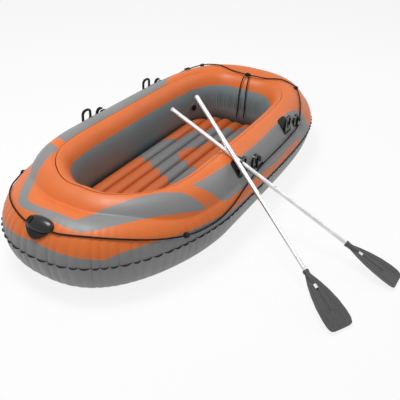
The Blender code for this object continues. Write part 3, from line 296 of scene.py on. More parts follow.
# Relief of a blade. Runs are (share of the length, run); the grooves at the sides and the rim are
# (place and half width as shares of the blade's half width, depth)
NECK_FADE = (0.93, 0.15)
SIDE_GROWTH = (0.02, 0.05)
RIDGE_GROWTH = (0.22, 0.15)
RIDGE_HEIGHT, RIDGE_SPREAD = 4.5 * MM, 20 * MM
MIDDLE_GROWTH = (0.24, 0.08)
MIDDLE_HALF_WIDTH, MIDDLE_DEPTH = 6.5 * MM, 6.0 * MM
SIDE_GROOVE = (0.56, 0.07, 2.8 * MM)
RIM_RIDGE = (0.93, 0.06, -1.2 * MM)

ORANGE = (0.72, 0.158, 0.024)
GREY = (0.225, 0.225, 0.228)
# Painted correction for light: the wall's grey is a cooler copy of the grey, to cancel the orange
# light reflected onto it
WALL_GREY_AGAINST_REFLECTED_ORANGE = (0.205, 0.270, 0.290)  # cooler, as the orange round it warms it
# Painted shade: the floor's orange and grey are darker copies of the hull's, for the shade that
# falls on the floor inside the hull
SHADED_FLOOR_ORANGE = (0.54, 0.118, 0.022)
SHADED_FLOOR_GREY = (0.175, 0.175, 0.178)
BLACK = (0.006, 0.006, 0.0065)
DARK = (0.020, 0.020, 0.021)
BLADE_GREY = (0.075, 0.075, 0.077)
ALUMINIUM = (0.74, 0.745, 0.75)
PLUG_GREY = (0.62, 0.62, 0.61)
CLEAR_PINK = (0.72, 0.50, 0.44)

# Vinyl: noise scales of its tint and wear, and its grain
VINYL_ROUGHNESS = (0.40, 0.48)
VINYL_TINT = 0.05
ORANGE_PATCHES, GREY_PATCHES = 3.0, 4.0
VINYL_WEAR = 14.0
VINYL_GRAIN, VINYL_GRAIN_DETAIL = 900.0, 2.0
VINYL_GRAIN_STRENGTH, VINYL_GRAIN_DEPTH = 0.10, 0.15 * MM
COLOUR_EDGE = 0.4 * MM        # half the width over which one colour turns into the other

# Plain materials: colour, roughness, grain, its depth, coat, metal and specular level
PLAIN_LOOKS = {
    "moulded_black": (BLACK, 0.24, 700.0, 0.08 * MM, 0.0, 0.0, 0.30),
    "polished_black": (BLACK, 0.26, 700.0, 0.03 * MM, 0.35, 0.0, 0.30),
    "patch_black": (DARK, 0.55, 500.0, 0.20 * MM, 0.0, 0.0, 0.15),
    "blade_plastic": (BLADE_GREY, 0.50, 520.0, 0.25 * MM, 0.0, 0.0, 0.50),
    "orange_vinyl": (ORANGE, 0.40, 900.0, 0.10 * MM, 0.12, 0.0, 0.50),
    "grey_vinyl": (GREY, 0.42, 900.0, 0.10 * MM, 0.12, 0.0, 0.50),
    "clear_vinyl": (CLEAR_PINK, 0.20, 300.0, 0.10 * MM, 0.50, 0.0, 0.50),
    "drawn_aluminium": (ALUMINIUM, 0.34, 260.0, 0.05 * MM, 0.0, 1.0, 0.50),
    "plug_plastic": (PLUG_GREY, 0.50, 400.0, 0.10 * MM, 0.0, 0.0, 0.50),
    "plated_steel": (GREY, 0.30, 300.0, 0.05 * MM, 0.0, 1.0, 0.50),
}
RENAMED_SLOTS = {"hull_orange": "orange_vinyl", "hull_grey": "grey_vinyl",
                 "aluminium": "drawn_aluminium", "button_steel": "plated_steel"}
COAT_ROUGHNESS = 0.25
TINT_AMOUNT, WEAR_AMOUNT = 0.12, 0.15
TINT_BREADTH, WEAR_BREADTH = 12, 6  # patches of tint and of wear, against the grain's size
GRAIN_STRENGTH = 0.25
NOISE_RANGE = (0.3, 0.7)      # most of a noise texture's values

# Braid of the rope
ROPE_ROUGHNESS, ROPE_SPECULAR = 0.75, 0.12
BRAID_SCALE = 180.0
BRAID_STRENGTH, BRAID_DEPTH = 0.5, 0.5 * MM

# Stage, with its lamps as (name, place, size, power)
GROUND_SIZE = 60.0
GROUND_HEIGHT = -0.2 * MM
GROUND_GREY = 0.9
GROUND_ROUGHNESS = 0.9
GROUND_SPECULAR = 0.1
GROUND_GLOW_SHARE = 0.86
AMBIENT_STRENGTH = 0.36
LAMPS = (("key", (1.0, -0.6, 4.2), 1.6, 125.0), ("fill", (-2.8, 1.6, 3.0), 2.0, 22.0))


# Materials

def new_material(name, colour, roughness, coat=0.0, metallic=0.0, specular=0.5):
    mat = bpy.data.materials.new(name)
    mat.use_nodes = True
    shader = mat.node_tree.nodes["Principled BSDF"]
    shader.inputs["Base Color"].default_value = (*colour, 1)
    shader.inputs["Roughness"].default_value = roughness
    shader.inputs["Metallic"].default_value = metallic
    shader.inputs["Specular IOR Level"].default_value = specular
    shader.inputs["Coat Weight"].default_value = coat
    shader.inputs["Coat Roughness"].default_value = COAT_ROUGHNESS
    return mat, mat.node_tree.nodes, mat.node_tree.links, shader


def add_bump(nodes, links, shader, height, strength, distance):
    bump = nodes.new("ShaderNodeBump")
    bump.inputs["Strength"].default_value = strength
    bump.inputs["Distance"].default_value = distance
    links.new(height, bump.inputs["Height"])
    links.new(bump.outputs["Normal"], shader.inputs["Normal"])


def noise(nodes, links, scale, detail=3.0):
    where = nodes.new("ShaderNodeTexCoord")
    texture = nodes.new("ShaderNodeTexNoise")
    texture.inputs["Scale"].default_value = scale
    texture.inputs["Detail"].default_value = detail
    links.new(where.outputs["Object"], texture.inputs["Vector"])
    return texture.outputs["Fac"]


def vary(nodes, links, value, low, high):
    spread = nodes.new("ShaderNodeMapRange")
    spread.inputs["From Min"].default_value, spread.inputs["From Max"].default_value = NOISE_RANGE
    spread.inputs["To Min"].default_value = low
    spread.inputs["To Max"].default_value = high
    links.new(value, spread.inputs["Value"])
    return spread.outputs["Result"]


def larger(nodes, links, first, second):
    node = nodes.new("ShaderNodeMath")
    node.operation = "MAXIMUM"
    links.new(first, node.inputs[0])
    links.new(second, node.inputs[1])
    return node.outputs[0]


def mix_colours(nodes, links, factor, first, second):
    """Mixes two colours, each a tuple or a socket."""
    mix = nodes.new("ShaderNodeMix")
    mix.data_type = "RGBA"
    links.new(factor, mix.inputs["Factor"])
    for socket, colour in ((mix.inputs[6], first), (mix.inputs[7], second)):
        if isinstance(colour, tuple):
            socket.default_value = (*colour, 1)
        else:
            links.new(colour, socket)
    return mix.outputs[2]


def tinted(nodes, links, colour, amount, scale):
    """The colour, slightly lighter and darker in broad patches."""
    darker = tuple(c * (1 - amount) for c in colour)
    lighter = tuple(min(c * (1 + amount), 1) for c in colour)
    return mix_colours(nodes, links, vary(nodes, links, noise(nodes, links, scale), 0, 1),
                       darker, lighter)


def vinyl_material(name, orange_colour, grey_colour):
    """Two-coloured calendered vinyl: its colour edge is where the panel attribute passes zero."""
    mat, nodes, links, shader = new_material(name, orange_colour, VINYL_ROUGHNESS[0])
    panel = nodes.new("ShaderNodeAttribute")
    panel.attribute_name = "panel"
    edge = nodes.new("ShaderNodeMapRange")
    edge.inputs["From Min"].default_value = -COLOUR_EDGE
    edge.inputs["From Max"].default_value = COLOUR_EDGE
    links.new(panel.outputs["Fac"], edge.inputs["Value"])
    orange = tinted(nodes, links, orange_colour, VINYL_TINT, ORANGE_PATCHES)
    grey = tinted(nodes, links, grey_colour, VINYL_TINT, GREY_PATCHES)
    links.new(mix_colours(nodes, links, edge.outputs["Result"], orange, grey),
              shader.inputs["Base Color"])
    links.new(vary(nodes, links, noise(nodes, links, VINYL_WEAR), *VINYL_ROUGHNESS),
              shader.inputs["Roughness"])
    add_bump(nodes, links, shader, noise(nodes, links, VINYL_GRAIN, VINYL_GRAIN_DETAIL),
             VINYL_GRAIN_STRENGTH, VINYL_GRAIN_DEPTH)
    return mat


def grained_material(name, colour, roughness, grain, depth, coat, metallic, specular):
    """Plastic, vinyl or metal with fine grain and slight wear."""
    mat, nodes, links, shader = new_material(name, colour, roughness, coat, metallic, specular)
    links.new(tinted(nodes, links, colour, TINT_AMOUNT, grain / TINT_BREADTH),
              shader.inputs["Base Color"])
    links.new(vary(nodes, links, noise(nodes, links, grain / WEAR_BREADTH),
                   roughness * (1 - WEAR_AMOUNT), roughness * (1 + WEAR_AMOUNT)),
              shader.inputs["Roughness"])
    add_bump(nodes, links, shader, noise(nodes, links, grain), GRAIN_STRENGTH, depth)
    return mat


def rope_material():
    """Braided cord: slanting and level waves cross on it, and its raised strands carry a painted
    sheen.
    """
    mat, nodes, links, shader = new_material("braided_rope", BLACK, ROPE_ROUGHNESS,
                                             specular=ROPE_SPECULAR)
    where = nodes.new("ShaderNodeTexCoord")
    heights = []
    for direction in ("DIAGONAL", "Z"):
        wave = nodes.new("ShaderNodeTexWave")
        wave.bands_direction = direction
        wave.inputs["Scale"].default_value = BRAID_SCALE
        links.new(where.outputs["Object"], wave.inputs["Vector"])
        heights.append(wave.outputs["Fac"])
    both = larger(nodes, links, *heights)
    # Painted sheen: the braid's raised strands are coloured lighter than its hollows
    links.new(mix_colours(nodes, links, both, BLACK, DARK), shader.inputs["Base Color"])
    add_bump(nodes, links, shader, both, BRAID_STRENGTH, BRAID_DEPTH)
    return mat


# Hull maths

def outside(x, y):
    forward = x > WIDEST_FROM_MIDDLE
    length_power, width_power = BOW_POWER_SHARES if forward else STERN_POWER_SHARES
    run = HALF_LENGTH + (-WIDEST_FROM_MIDDLE if forward else WIDEST_FROM_MIDDLE)
    along = abs(x - WIDEST_FROM_MIDDLE) / run
    return along ** length_power + (abs(y) / HALF_WIDTH) ** width_power


def reach(foot, direction):
    low, high = 0.0, HULL_LENGTH
    for _ in range(REACH_HALVINGS):
        middle = (low + high) / 2
        if outside(foot + direction[0] * middle, direction[1] * middle) > 1:
            high = middle
        else:
            low = middle
    return low


def hull_point(foot, direction, distance, z):
    return foot + direction[0] * distance, direction[1] * distance, z


def station(way):
    """(foot, direction) at a way round the hull."""
    side = 1.0 if way >= 0 else -1.0
    run = abs(way)
    if run < BOW_END:
        turn = run / BOW_FAN_RADIUS
        return SPINE_BOW, (math.cos(turn), side * math.sin(turn))
    if run < STERN_START:
        return SPINE_BOW - (run - BOW_END), (0.0, side)
    turn = math.pi / 2 + (run - STERN_START) / STERN_FAN_RADIUS
    return SPINE_STERN, (math.cos(turn), side * math.sin(turn))


def at_station(sizes, direction):
    share = direction[0] ** 2
    side, at_bow, at_stern = sizes
    return side + ((at_bow if direction[0] > 0 else at_stern) - side) * share


def crease_inset(direction):
    return at_station(RING_WIDTH, direction) - at_station(INNER_LOBE_WIDTH, direction)


def outer_lobes(direction):
    half = at_station(MAIN_LOBE_HALF, direction)
    start = at_station(MAIN_LOBE_START, direction)
    tube_half = at_station(LOWER_TUBE_HALF, direction)
    return ((start + half, half, at_station(MAIN_LOBE_TOP, direction)),
            (tube_half, tube_half, at_station(LOWER_TUBE_TOP, direction)))


def inner_lobes(direction):
    half = at_station(INNER_LOBE_HALF, direction)
    return ((at_station(RING_WIDTH, direction) - half, half,
             at_station(INNER_LOBE_TOP, direction)),)


def outer_core(direction):
    start = at_station(MAIN_LOBE_START, direction)
    end = min(crease_inset(direction), 2 * at_station(LOWER_TUBE_HALF, direction))
    return (start + end) / 2


def inner_core(direction):
    return (crease_inset(direction) + at_station(RING_WIDTH, direction)) / 2


def lobe_exit(core, lobe, cosine, sine):
    centre, half, top = lobe
    rise = top - SEAM_HEIGHT if sine > 0 else SEAM_HEIGHT - BASE_Z + FLAT_DEPTH
    start, dx, dz = (core - centre) / half, cosine / half, sine / rise
    a, b, c = dx * dx + dz * dz, start * dx, start * start - 1
    root = b * b - a * c
    return max((-b + math.sqrt(root)) / a, 0.0) if root > 0 else 0.0


def blended_exit(core, lobes, cosine, sine):
    """Way out of the union of the lobes, with the crease between them slightly rounded."""
    exits = [lobe_exit(core, lobe, cosine, sine) for lobe in lobes]
    longest = max(exits)
    total = sum((e / longest) ** CREASE_SHARPNESS for e in exits)
    return longest * total ** (1 / CREASE_SHARPNESS)


def lobe_height(inset, lobes):
    heights = [SEAM_HEIGHT]
    for centre, half, top in lobes:
        share = 1 - ((inset - centre) / half) ** 2
        if share > 0:
            heights.append(SEAM_HEIGHT + (top - SEAM_HEIGHT) * math.sqrt(share))
    return max(heights)


def crease_height(direction):
    """Height at which the two chambers' skins meet over the wall between them."""
    wall = crease_inset(direction)
    return min(lobe_height(wall, outer_lobes(direction)),
               lobe_height(wall, inner_lobes(direction))) - CREASE_DIP


# Folds of the skin

def fold_places(start, end, widths, seed):
    """Places of folds between two ways round the hull, unevenly spaced."""
    dice = random.Random(seed)
    places = [start]
    while places[-1] < end:
        places.append(places[-1] + dice.uniform(*widths))
    return places, [dice.uniform(SHALLOWEST_FOLD, 1.0) for _ in places]


def fold_depth(way, folds):
    """From 0 on a pucker's crown to 1 in the valley between two, and the pucker's share passed."""
    places, depths = folds
    k = min(max(bisect.bisect(places, way) - 1, 0), len(places) - 2)
    share = min(max((way - places[k]) / (places[k + 1] - places[k]), 0.0), 1.0)
    depth = depths[k] if share < 0.5 else depths[k + 1]
    return (1 - math.sqrt(max(1 - (2 * share - 1) ** 2, 0.0))) * depth, share


def smooth_step(value):
    value = min(max(value, 0.0), 1.0)
    return value * value * (3 - 2 * value)


def growing(value, growth):
    start, run = growth
    return smooth_step((value - start) / run)


def fading(value, fade):
    end, run = fade
    return smooth_step((end - value) / run)


PUCKERS = fold_places(-STERN_END, STERN_END, PUCKER_WIDTHS, 5)
WALL_FOLDS = fold_places(-STERN_END, STERN_END, FOLD_PITCH, 9)


def pucker_strength(way):
    """The puckers are deepest round the bow and the stern and shallow along the sides."""
    at_bow = fading(abs(way), PUCKER_BOW_FADE)
    at_stern = growing(abs(way), PUCKER_STERN_GROWTH) * PUCKER_AT_STERN
    return PUCKER_ALONG_SIDE + (1 - PUCKER_ALONG_SIDE) * max(at_bow, at_stern)


def outer_fold(way, turn):
    from_seam = turn - 180
    width = PUCKER_UP if from_seam < 0 else PUCKER_DOWN
    fade = smooth_step(1 - abs(from_seam) / width)
    depth, _ = fold_depth(way, PUCKERS)
    return PUCKER_DEPTH * pucker_strength(way) * fade * depth


def inner_fold(way, turn):
    fade = fading(abs(turn - FOLD_MIDDLE_TURN), FOLD_TURN_FADE)
    strength = (growing(abs(way), FOLD_STERN_GROWTH)
                + FOLD_AT_BOW * fading(abs(way), FOLD_BOW_FADE))
    depth, _ = fold_depth(way, WALL_FOLDS)
    return FOLD_DEPTH * fade * strength * depth


# Colour panels

def inside_distance(points, outline):
    """Distance from each point to a closed outline, positive inside it."""
    corners = np.array(outline, float)
    ends = np.roll(corners, -1, axis=0)
    nearest = np.full(len(points), 1e9)
    inside = np.zeros(len(points), bool)
    for (ax, ay), (bx, by) in zip(corners, ends):
        run = np.array((bx - ax, by - ay))
        rel = points - (ax, ay)
        share = np.clip(rel @ run / max(run @ run, 1e-12), 0, 1)
        nearest = np.minimum(nearest, np.hypot(*(rel - share[:, None] * run).T))
        crosses = (ay > points[:, 1]) != (by > points[:, 1])
        with np.errstate(divide="ignore", invalid="ignore"):
            at = ax + (points[:, 1] - ay) * (bx - ax) / (by - ay)
        inside ^= crosses & (points[:, 0] < at)
    return np.where(inside, nearest, -nearest)


def on_skin(outline, side=1):
    return [(side * way, turn * DEGREE) for way, turn in outline]


def outer_panels(places):
    """Signed distance to the grey panels for (way, turn) places on the outer chamber."""
    points = np.array([(way, turn * DEGREE) for way, turn in places])
    far = STERN_END + PANEL_MARGIN
    edge = [*[(-w, t) for w, t in reversed(LOWER_EDGE)], *LOWER_EDGE]
    lower = [(-far, 180), *edge, (far, 180), (far, LOWEST_TURN), (-far, LOWEST_TURN)]
    outlines = (on_skin(BOW_BAND), on_skin(PORT_PANEL), on_skin(STARBOARD_PANEL, -1),
                on_skin(lower))
    return np.max([inside_distance(points, outline) for outline in outlines], axis=0)


def floor_panels(places, crowns):
    """Signed distance to the floor's grey, whose edges lie further aft on the ribs' crests."""
    points = np.array(places) + np.array([(c * FLOOR_SCALLOP, 0.0) for c in crowns])
    outlines = (FLOOR_BOW, FLOOR_MIDDLE, FLOOR_STERN)
    return -np.max([inside_distance(points, outline) for outline in outlines], axis=0)


# Meshes

def round_turns(count):
    return [2 * math.pi * k / count for k in range(count)]


def linked_object(name, data):
    obj = bpy.data.objects.new(name, data)
    bpy.context.scene.collection.objects.link(obj)
    return obj


def mesh_object(name, rows, wrap_rows, wrap_columns, mat, smooth_angle=SOFT_EDGE):
    """Skins a grid of points; rings or rows that don't wrap keep an open edge."""
    mesh = bpy.data.meshes.new(name)
    width = len(rows[0])
    verts = [p for row in rows for p in row]
    faces = []
    for i in range(len(rows) if wrap_rows else len(rows) - 1):
        n = (i + 1) % len(rows)
        for j in range(width if wrap_columns else width - 1):
            m = (j + 1) % width
            faces.append((i * width + j, i * width + m, n * width + m, n * width + j))
    mesh.from_pydata(verts, [], faces)
    return finish_mesh(name, mesh, mat, smooth_angle)


def finish_mesh(name, mesh, mat, smooth_angle):
    bm = bmesh.new()
    bm.from_mesh(mesh)
    bmesh.ops.recalc_face_normals(bm, faces=bm.faces)
    bm.to_mesh(mesh)
    bm.free()
    mesh.shade_smooth()
    mesh.set_sharp_from_angle(angle=math.radians(smooth_angle))
    mesh.materials.append(mat)
    return linked_object(name, mesh)


def close_ends(obj):
    bm = bmesh.new()
    bm.from_mesh(obj.data)
    bmesh.ops.holes_fill(bm, edges=[e for e in bm.edges if e.is_boundary])
    bmesh.ops.recalc_face_normals(bm, faces=bm.faces)
    bm.to_mesh(obj.data)
    bm.free()


def add_panel(obj, values):
    """The signed distance to the grey panels, which the vinyl's material reads."""
    layer = obj.data.attributes.new("panel", "FLOAT", "POINT")
    layer.data.foreach_set("value", np.asarray(values, np.float32))


def ways_round(step, fine_step=None):
    """Stations round the hull, closer together round the stern where a fine step is given."""
    ways = [-STERN_END]
    while ways[-1] < STERN_END - step / 2:
        fine = fine_step and abs(ways[-1]) > FINE_FROM
        ways.append(ways[-1] + (fine_step if fine else step))
    return ways[:-1] if STERN_END - ways[-1] < step / 3 else ways


def chamber_skin(name, ways, core_of, lobes_of, wall_side, counts, fold, mat):
    """The smooth skin of a chamber. Its section starts at the top of the wall between the two
    chambers and ends at that wall's foot."""
    rows, places = [], []
    for way in ways:
        foot, direction = station(way)
        far = reach(foot, direction)
        core, lobes = core_of(direction), lobes_of(direction)
        wall = crease_inset(direction) - wall_side * WALL_GAP
        wall_top = lobe_height(wall, lobes)
        top = math.degrees(math.atan2(wall_top - SEAM_HEIGHT, wall - core))
        dip = wall_top - crease_height(direction)
        blend = math.degrees(CREASE_BLEND / math.hypot(wall_top - SEAM_HEIGHT, wall - core))
        low = math.degrees(math.atan2(BASE_Z - SEAM_HEIGHT, wall - core))
        middle = 180.0 if wall_side > 0 else 0.0
        low += 360 if wall_side > 0 else 0
        turns = [top + (middle - top) * k / counts[0] for k in range(counts[0])]
        turns += [middle + (low - middle) * k / counts[1] for k in range(counts[1] + 1)]
        row = []
        for turn in turns:
            cosine, sine = math.cos(math.radians(turn)), math.sin(math.radians(turn))
            out = blended_exit(core, lobes, cosine, sine)
            at_wall = smooth_step(min(abs(turn - top), abs(turn - low)) / WALL_BLEND)
            at_crease = 1 - smooth_step(abs(turn - top) / blend)
            out -= SKIN_INSET * at_wall + fold(way, turn) + dip * at_crease
            if cosine * wall_side > 0:
                out = min(out, (wall - core) / cosine)
            if sine < 0:
                out = min(out, (SEAM_HEIGHT - BASE_Z) / -sine)
            distance = far - (core + out * cosine)
            row.append(hull_point(foot, direction, distance, SEAM_HEIGHT + out * sine))
            places.append((way, turn))
        rows.append(row)
    return mesh_object(name, rows, True, True, mat), places


def make_chambers(mat, wall_mat):
    step = SKIN_STEP
    outer, places = chamber_skin("outer_chamber_skin", ways_round(step), outer_core, outer_lobes,
                                 1, OUTER_COUNTS, outer_fold, mat)
    add_panel(outer, outer_panels(places))
    inner, places = chamber_skin("inner_chamber_skin", ways_round(COARSE_STEP, FINE_STEP),
                                 inner_core, inner_lobes, -1, INNER_COUNTS, inner_fold, wall_mat)
    add_panel(inner, [(WALL_EDGE - turn) * DEGREE for _, turn in places])
    for obj, node in ((outer, "outer_chamber"), (inner, "inner_chamber")):
        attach(obj, "hull")
        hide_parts(node)


def make_flange(mat):
    """The welded seam's edge: it dips and draws in from pucker to pucker, like scales. Its
    near-black colour is painted shade, for the shadow under each scallop.
    """
    rows = []
    for way in ways_round(FINE_STEP):
        foot, direction = station(way)
        far = reach(foot, direction)
        valley, share = fold_depth(way, PUCKERS)
        strength = pucker_strength(way)
        sunk = PUCKER_DEPTH * strength * valley
        out = FLANGE_REACH * (1 - FLANGE_DRAW * valley) - FLANGE_SINK * sunk
        inside = min(sunk, FLANGE_REACH) + 2 * SKIN_INSET
        half = FLANGE_HALF * (1 - FLANGE_THINNING * valley)
        dip = math.sin(math.pi * share) - share + FLANGE_WAVE_MIDDLE
        z = SEAM_HEIGHT - FLANGE_WAVE * strength * dip
        row = []
        for inset, dz in ((inside, -1), (inside, 1), (min(-out, inside - SKIN_INSET), 1),
                          (min(-out, inside - SKIN_INSET), -1)):
            row.append(hull_point(foot, direction, far - inset, z + dz * half))
        rows.append(row)
    flange = mesh_object("seam_flange_scalloped", rows, True, True, mat)
    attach(flange, "hull")
    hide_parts("seam_flange")


def cockpit_edge(margin):
    """(x, y) points of the cockpit's inner outline, moved outwards by the margin."""
    points = []
    for way in ways_round(OUTLINE_STEP):
        foot, direction = station(way)
        distance = reach(foot, direction) - at_station(RING_WIDTH, direction) + margin
        points.append(hull_point(foot, direction, distance, 0.0)[:2])
    return points


def make_floor(mat):
    """Ribs along the boat, each a taut round crown between two sewn grooves."""
    edge = cockpit_edge(FLOOR_TUCK)
    half = min(abs(y) for x, y in edge if abs(x) < SPINE_BOW / 2)
    ends = [sorted((y, x) for x, y in edge if x * side > SPINE_BOW / 2) for side in (-1, 1)]
    columns = FLOOR_RIBS * RIB_STEPS
    rows, places, crowns = [], [], []
    for j in range(columns + 1):
        y = half * (2 * j / columns - 1)
        in_rib = abs((j % RIB_STEPS) / RIB_STEPS * 2 - 1)
        low = FLOOR_EDGE if j in (0, columns) else FLOOR_GROOVE
        crown = math.sqrt(1 - in_rib ** 2)
        crest = low + (FLOOR_TOP - low) * crown
        stern, bow = (float(np.interp(y, [p[0] for p in e], [p[1] for p in e])) for e in ends)
        row = []
        for k in range(FLOOR_STEPS + 1):
            x = stern + (bow - stern) * (1 - math.cos(math.pi * k / FLOOR_STEPS)) / 2
            from_end = min(x - stern, bow - x) / FLOOR_END_ROUND
            rise = math.sqrt(1 - (1 - min(max(from_end, 0.0), 1.0)) ** 2)
            row.append((x, y, FLOOR_EDGE + (crest - FLOOR_EDGE) * rise))
            places.append((x, y))
            crowns.append(crown)
        rows.append(row)
    floor = mesh_object("floor_skin", rows, False, False, mat)
    add_panel(floor, floor_panels(places, crowns))
    rim = floor.modifiers.new("thickness", "SOLIDIFY")
    rim.thickness = FLOOR_EDGE - BASE_Z - MM
    rim.offset = -1
    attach(floor, "hull")
    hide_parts("inflatable_floor")


# Rope tails

def smooth_points(places, steps):
    points = []
    last = len(places) - 1
    for k in range(last):
        p1, p2 = places[k], places[k + 1]
        p0 = places[k - 1] if k else p1 * 2 - p2
        p3 = places[k + 2] if k + 2 <= last else p2 * 2 - p1
        for j in range(steps):
            t = j / steps
            points.append((p1 * 2 + (p2 - p0) * t + (p0 * 2 - p1 * 5 + p2 * 4 - p3) * t ** 2
                           + (p1 * 3 - p0 - p2 * 3 + p3) * t ** 3) / 2)
    return [*points, places[-1]]


def make_tail(name, node, places, mat):
    curve = bpy.data.curves.new(name, "CURVE")
    curve.dimensions = "3D"
    curve.bevel_depth = ROPE_DIAMETER / 2
    curve.bevel_resolution = TAIL_STEPS
    curve.use_fill_caps = True
    points = smooth_points([Vector(p) for p in places], TAIL_STEPS)
    spline = curve.splines.new("POLY")
    spline.points.add(len(points) - 1)
    for place, point in zip(spline.points, points):
        place.co = (*point, 1.0)
    spline.use_smooth = True
    curve.materials.append(mat)
    obj = linked_object(name, curve)
    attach(obj, "hull")
    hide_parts(node)


# Grab line

def section_at(x, y):
    """(foot, direction, inset) of a place: the hull section through it and how far in it lies."""
    foot = min(max(x, SPINE_STERN), SPINE_BOW)
    run = math.hypot(x - foot, y)
    direction = ((x - foot) / run, y / run)
    return foot, direction, reach(foot, direction) - run


def top_height(direction, inset):
    """Height of the two chambers' top under a rope at this inset."""
    crease = crease_inset(direction)
    heights = []
    for place in (inset - ROPE_DIAMETER / 2, inset, inset + ROPE_DIAMETER / 2):
        lobes = outer_lobes(direction) if place < crease else inner_lobes(direction)
        heights.append(lobe_height(place, lobes))
    return max(heights)


def off_skin(x, y, turn, lift):
    """A point off the hull: at a turn of the outer chamber's section, or on top of the hull."""
    foot, direction, inset = section_at(x, y)
    core, lobes = outer_core(direction), outer_lobes(direction)
    if turn is None:
        return Vector((x, y, top_height(direction, inset) + lift))
    cosine, sine = math.cos(math.radians(turn)), math.sin(math.radians(turn))
    out = blended_exit(core, lobes, cosine, sine) - SKIN_INSET + lift
    distance = reach(foot, direction) - (core + out * cosine)
    return Vector(hull_point(foot, direction, distance, SEAM_HEIGHT + out * sine))


def pushed_out(point, clear):
    """The point, or where it lies closer to the skin than clear, a point straight out from it."""
    foot, direction, inset = section_at(point.x, point.y)
    core = outer_core(direction)
    if inset > core - ON_TOP:
        return Vector((point.x, point.y, max(point.z, top_height(direction, inset) + clear)))
    turn = math.degrees(math.atan2(point.z - SEAM_HEIGHT, inset - core))
    nearest = off_skin(point.x, point.y, turn, clear)
    middle = Vector(hull_point(foot, direction, reach(foot, direction) - core, SEAM_HEIGHT))
    return nearest if (nearest - middle).length > (point - middle).length else point


def make_grab_line(mat):
    """The line runs round the hull through its guides and into the knot at the stern."""
    radius = ROPE_DIAMETER / 2
    places = [off_skin(x, y, turn, radius + ROPE_LIFT + lift) for x, y, turn, lift in PORT_ROUTE]
    half = smooth_points(places, ROPE_STEPS)
    other = [Vector((p.x, -p.y, p.z)) for p in half]
    points = [pushed_out(p, radius + ROPE_GAP) for p in [*reversed(other), *half]]
    across = Vector((0, 0, 1))
    rows = []
    for k, point in enumerate(points):
        along = (points[min(k + 1, len(points) - 1)] - points[max(k - 1, 0)]).normalized()
        across = (across - along * across.dot(along)).normalized()
        other_way = along.cross(across)
        rows.append([point + (across * math.cos(t) + other_way * math.sin(t)) * radius
                     for t in round_turns(ROPE_SIDES)])
    line = mesh_object("grab_line_braided", rows, False, True, mat)
    close_ends(line)
    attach(line, "hull")
    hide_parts("grab_line")


# Bow handle

def signed_power(value, power):
    return math.copysign(abs(value) ** power, value)


def make_handle_base(mat):
    """A domed pad with rounded corners on the bow, and the boss at its starboard end."""
    turns = round_turns(PAD_POINTS)
    power = 2 / PAD_SQUARENESS
    pad = [[off_skin(HANDLE_X, PAD_Y + PAD_HALF_SPAN * share * signed_power(math.cos(t), power),
                     PAD_TURN + PAD_HALF_TURN * share * signed_power(math.sin(t), power), lift)
            for t in turns] for share, lift in PAD_RINGS]
    boss = [[off_skin(HANDLE_X, BOSS_Y + BOSS_RADIUS * share * math.cos(t),
                      BOSS_TURN + BOSS_RADIUS / DEGREE * share * math.sin(t), lift)
             for t in turns] for share, lift in BOSS_RINGS]
    for name, rows in (("bow_handle_pad", pad), ("bow_handle_boss", boss)):
        obj = mesh_object(name, rows, False, True, mat, PAD_EDGE)
        close_ends(obj)
        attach(obj, "hull")
        if rows is pad:
            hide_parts("bow_handle_base")


def make_grip(mat):
    """The handle's grip: a bar bent into a bow, with its web up to the handle's base."""
    port = smooth_points([Vector(p) for p in GRIP_EDGE], GRIP_STEPS)
    edge = [*[Vector((p.x, -p.y, p.z)) for p in reversed(port[1:])], *port]
    rows = [[off_skin(p.x, p.y + GRIP_SHIFT, p.z + (GRIP_TOP_TURN - p.z) * share, lift)
             for share, lift in GRIP_SECTION] for p in edge]
    grip = mesh_object("bow_handle_grip_moulded", rows, False, True, mat, MOULDED_EDGE)
    close_ends(grip)
    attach(grip, "hull")
    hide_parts("bow_handle_grip")


# Oar clips

def add_slab(bm, profile, depth):
    """A profile in x and z extruded to a depth across y, with rounded rims."""
    face = bm.faces.new([bm.verts.new((x, -depth / 2, z)) for x, z in profile])
    grown = bmesh.ops.extrude_face_region(bm, geom=[face])["geom"]
    front = [v for v in grown if isinstance(v, bmesh.types.BMVert)]
    bmesh.ops.translate(bm, vec=(0, depth, 0), verts=front)
    rims = [e for v in (*face.verts, *front) for e in v.link_edges
            if abs(e.verts[0].co.y - e.verts[1].co.y) < depth / 2]
    bmesh.ops.bevel(bm, geom=list(set(rims)), offset=CLIP_EDGE, segments=ROUNDING_STEPS,
                    affect="EDGES", clamp_overlap=True)


def make_clip(node, place, side, mat):
    """A moulded hook on a thicker block, with a round boss on its outboard face."""
    bm = bmesh.new()
    add_slab(bm, CLIP_PROFILE, CLIP_DEPTH)
    add_slab(bm, BLOCK_PROFILE, BLOCK_DEPTH)
    boss_x, boss_z = CLIP_BOSS
    middle = (Matrix.Translation((boss_x, CLIP_BOSS_REACH / 2, boss_z))
              @ Matrix.Rotation(math.pi / 2, 4, "X"))
    bmesh.ops.create_cone(bm, cap_ends=True, segments=ROUND_POINTS, depth=CLIP_BOSS_REACH,
                          radius1=CLIP_BOSS_RADIUS * CLIP_BOSS_TAPER,
                          radius2=CLIP_BOSS_RADIUS, matrix=middle)
    if side < 0:
        bmesh.ops.scale(bm, vec=(1, -1, 1), verts=bm.verts)
    mesh = bpy.data.meshes.new(node + "_moulded")
    bm.to_mesh(mesh)
    bm.free()
    clip = finish_mesh(node + "_moulded", mesh, mat, FIRM_EDGE)
    clip.location = (place[0], side * place[1], place[2])
    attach(clip, "hull")
    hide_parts(node)


def make_clips(mat):
    for side, side_name in ((1, "port"), (-1, "starboard")):
        for place, end in zip(CLIP_PLACES, ("forward", "aft")):
            make_clip("oar_clip_" + side_name + "_" + end, place, side, mat)


# Oar blades

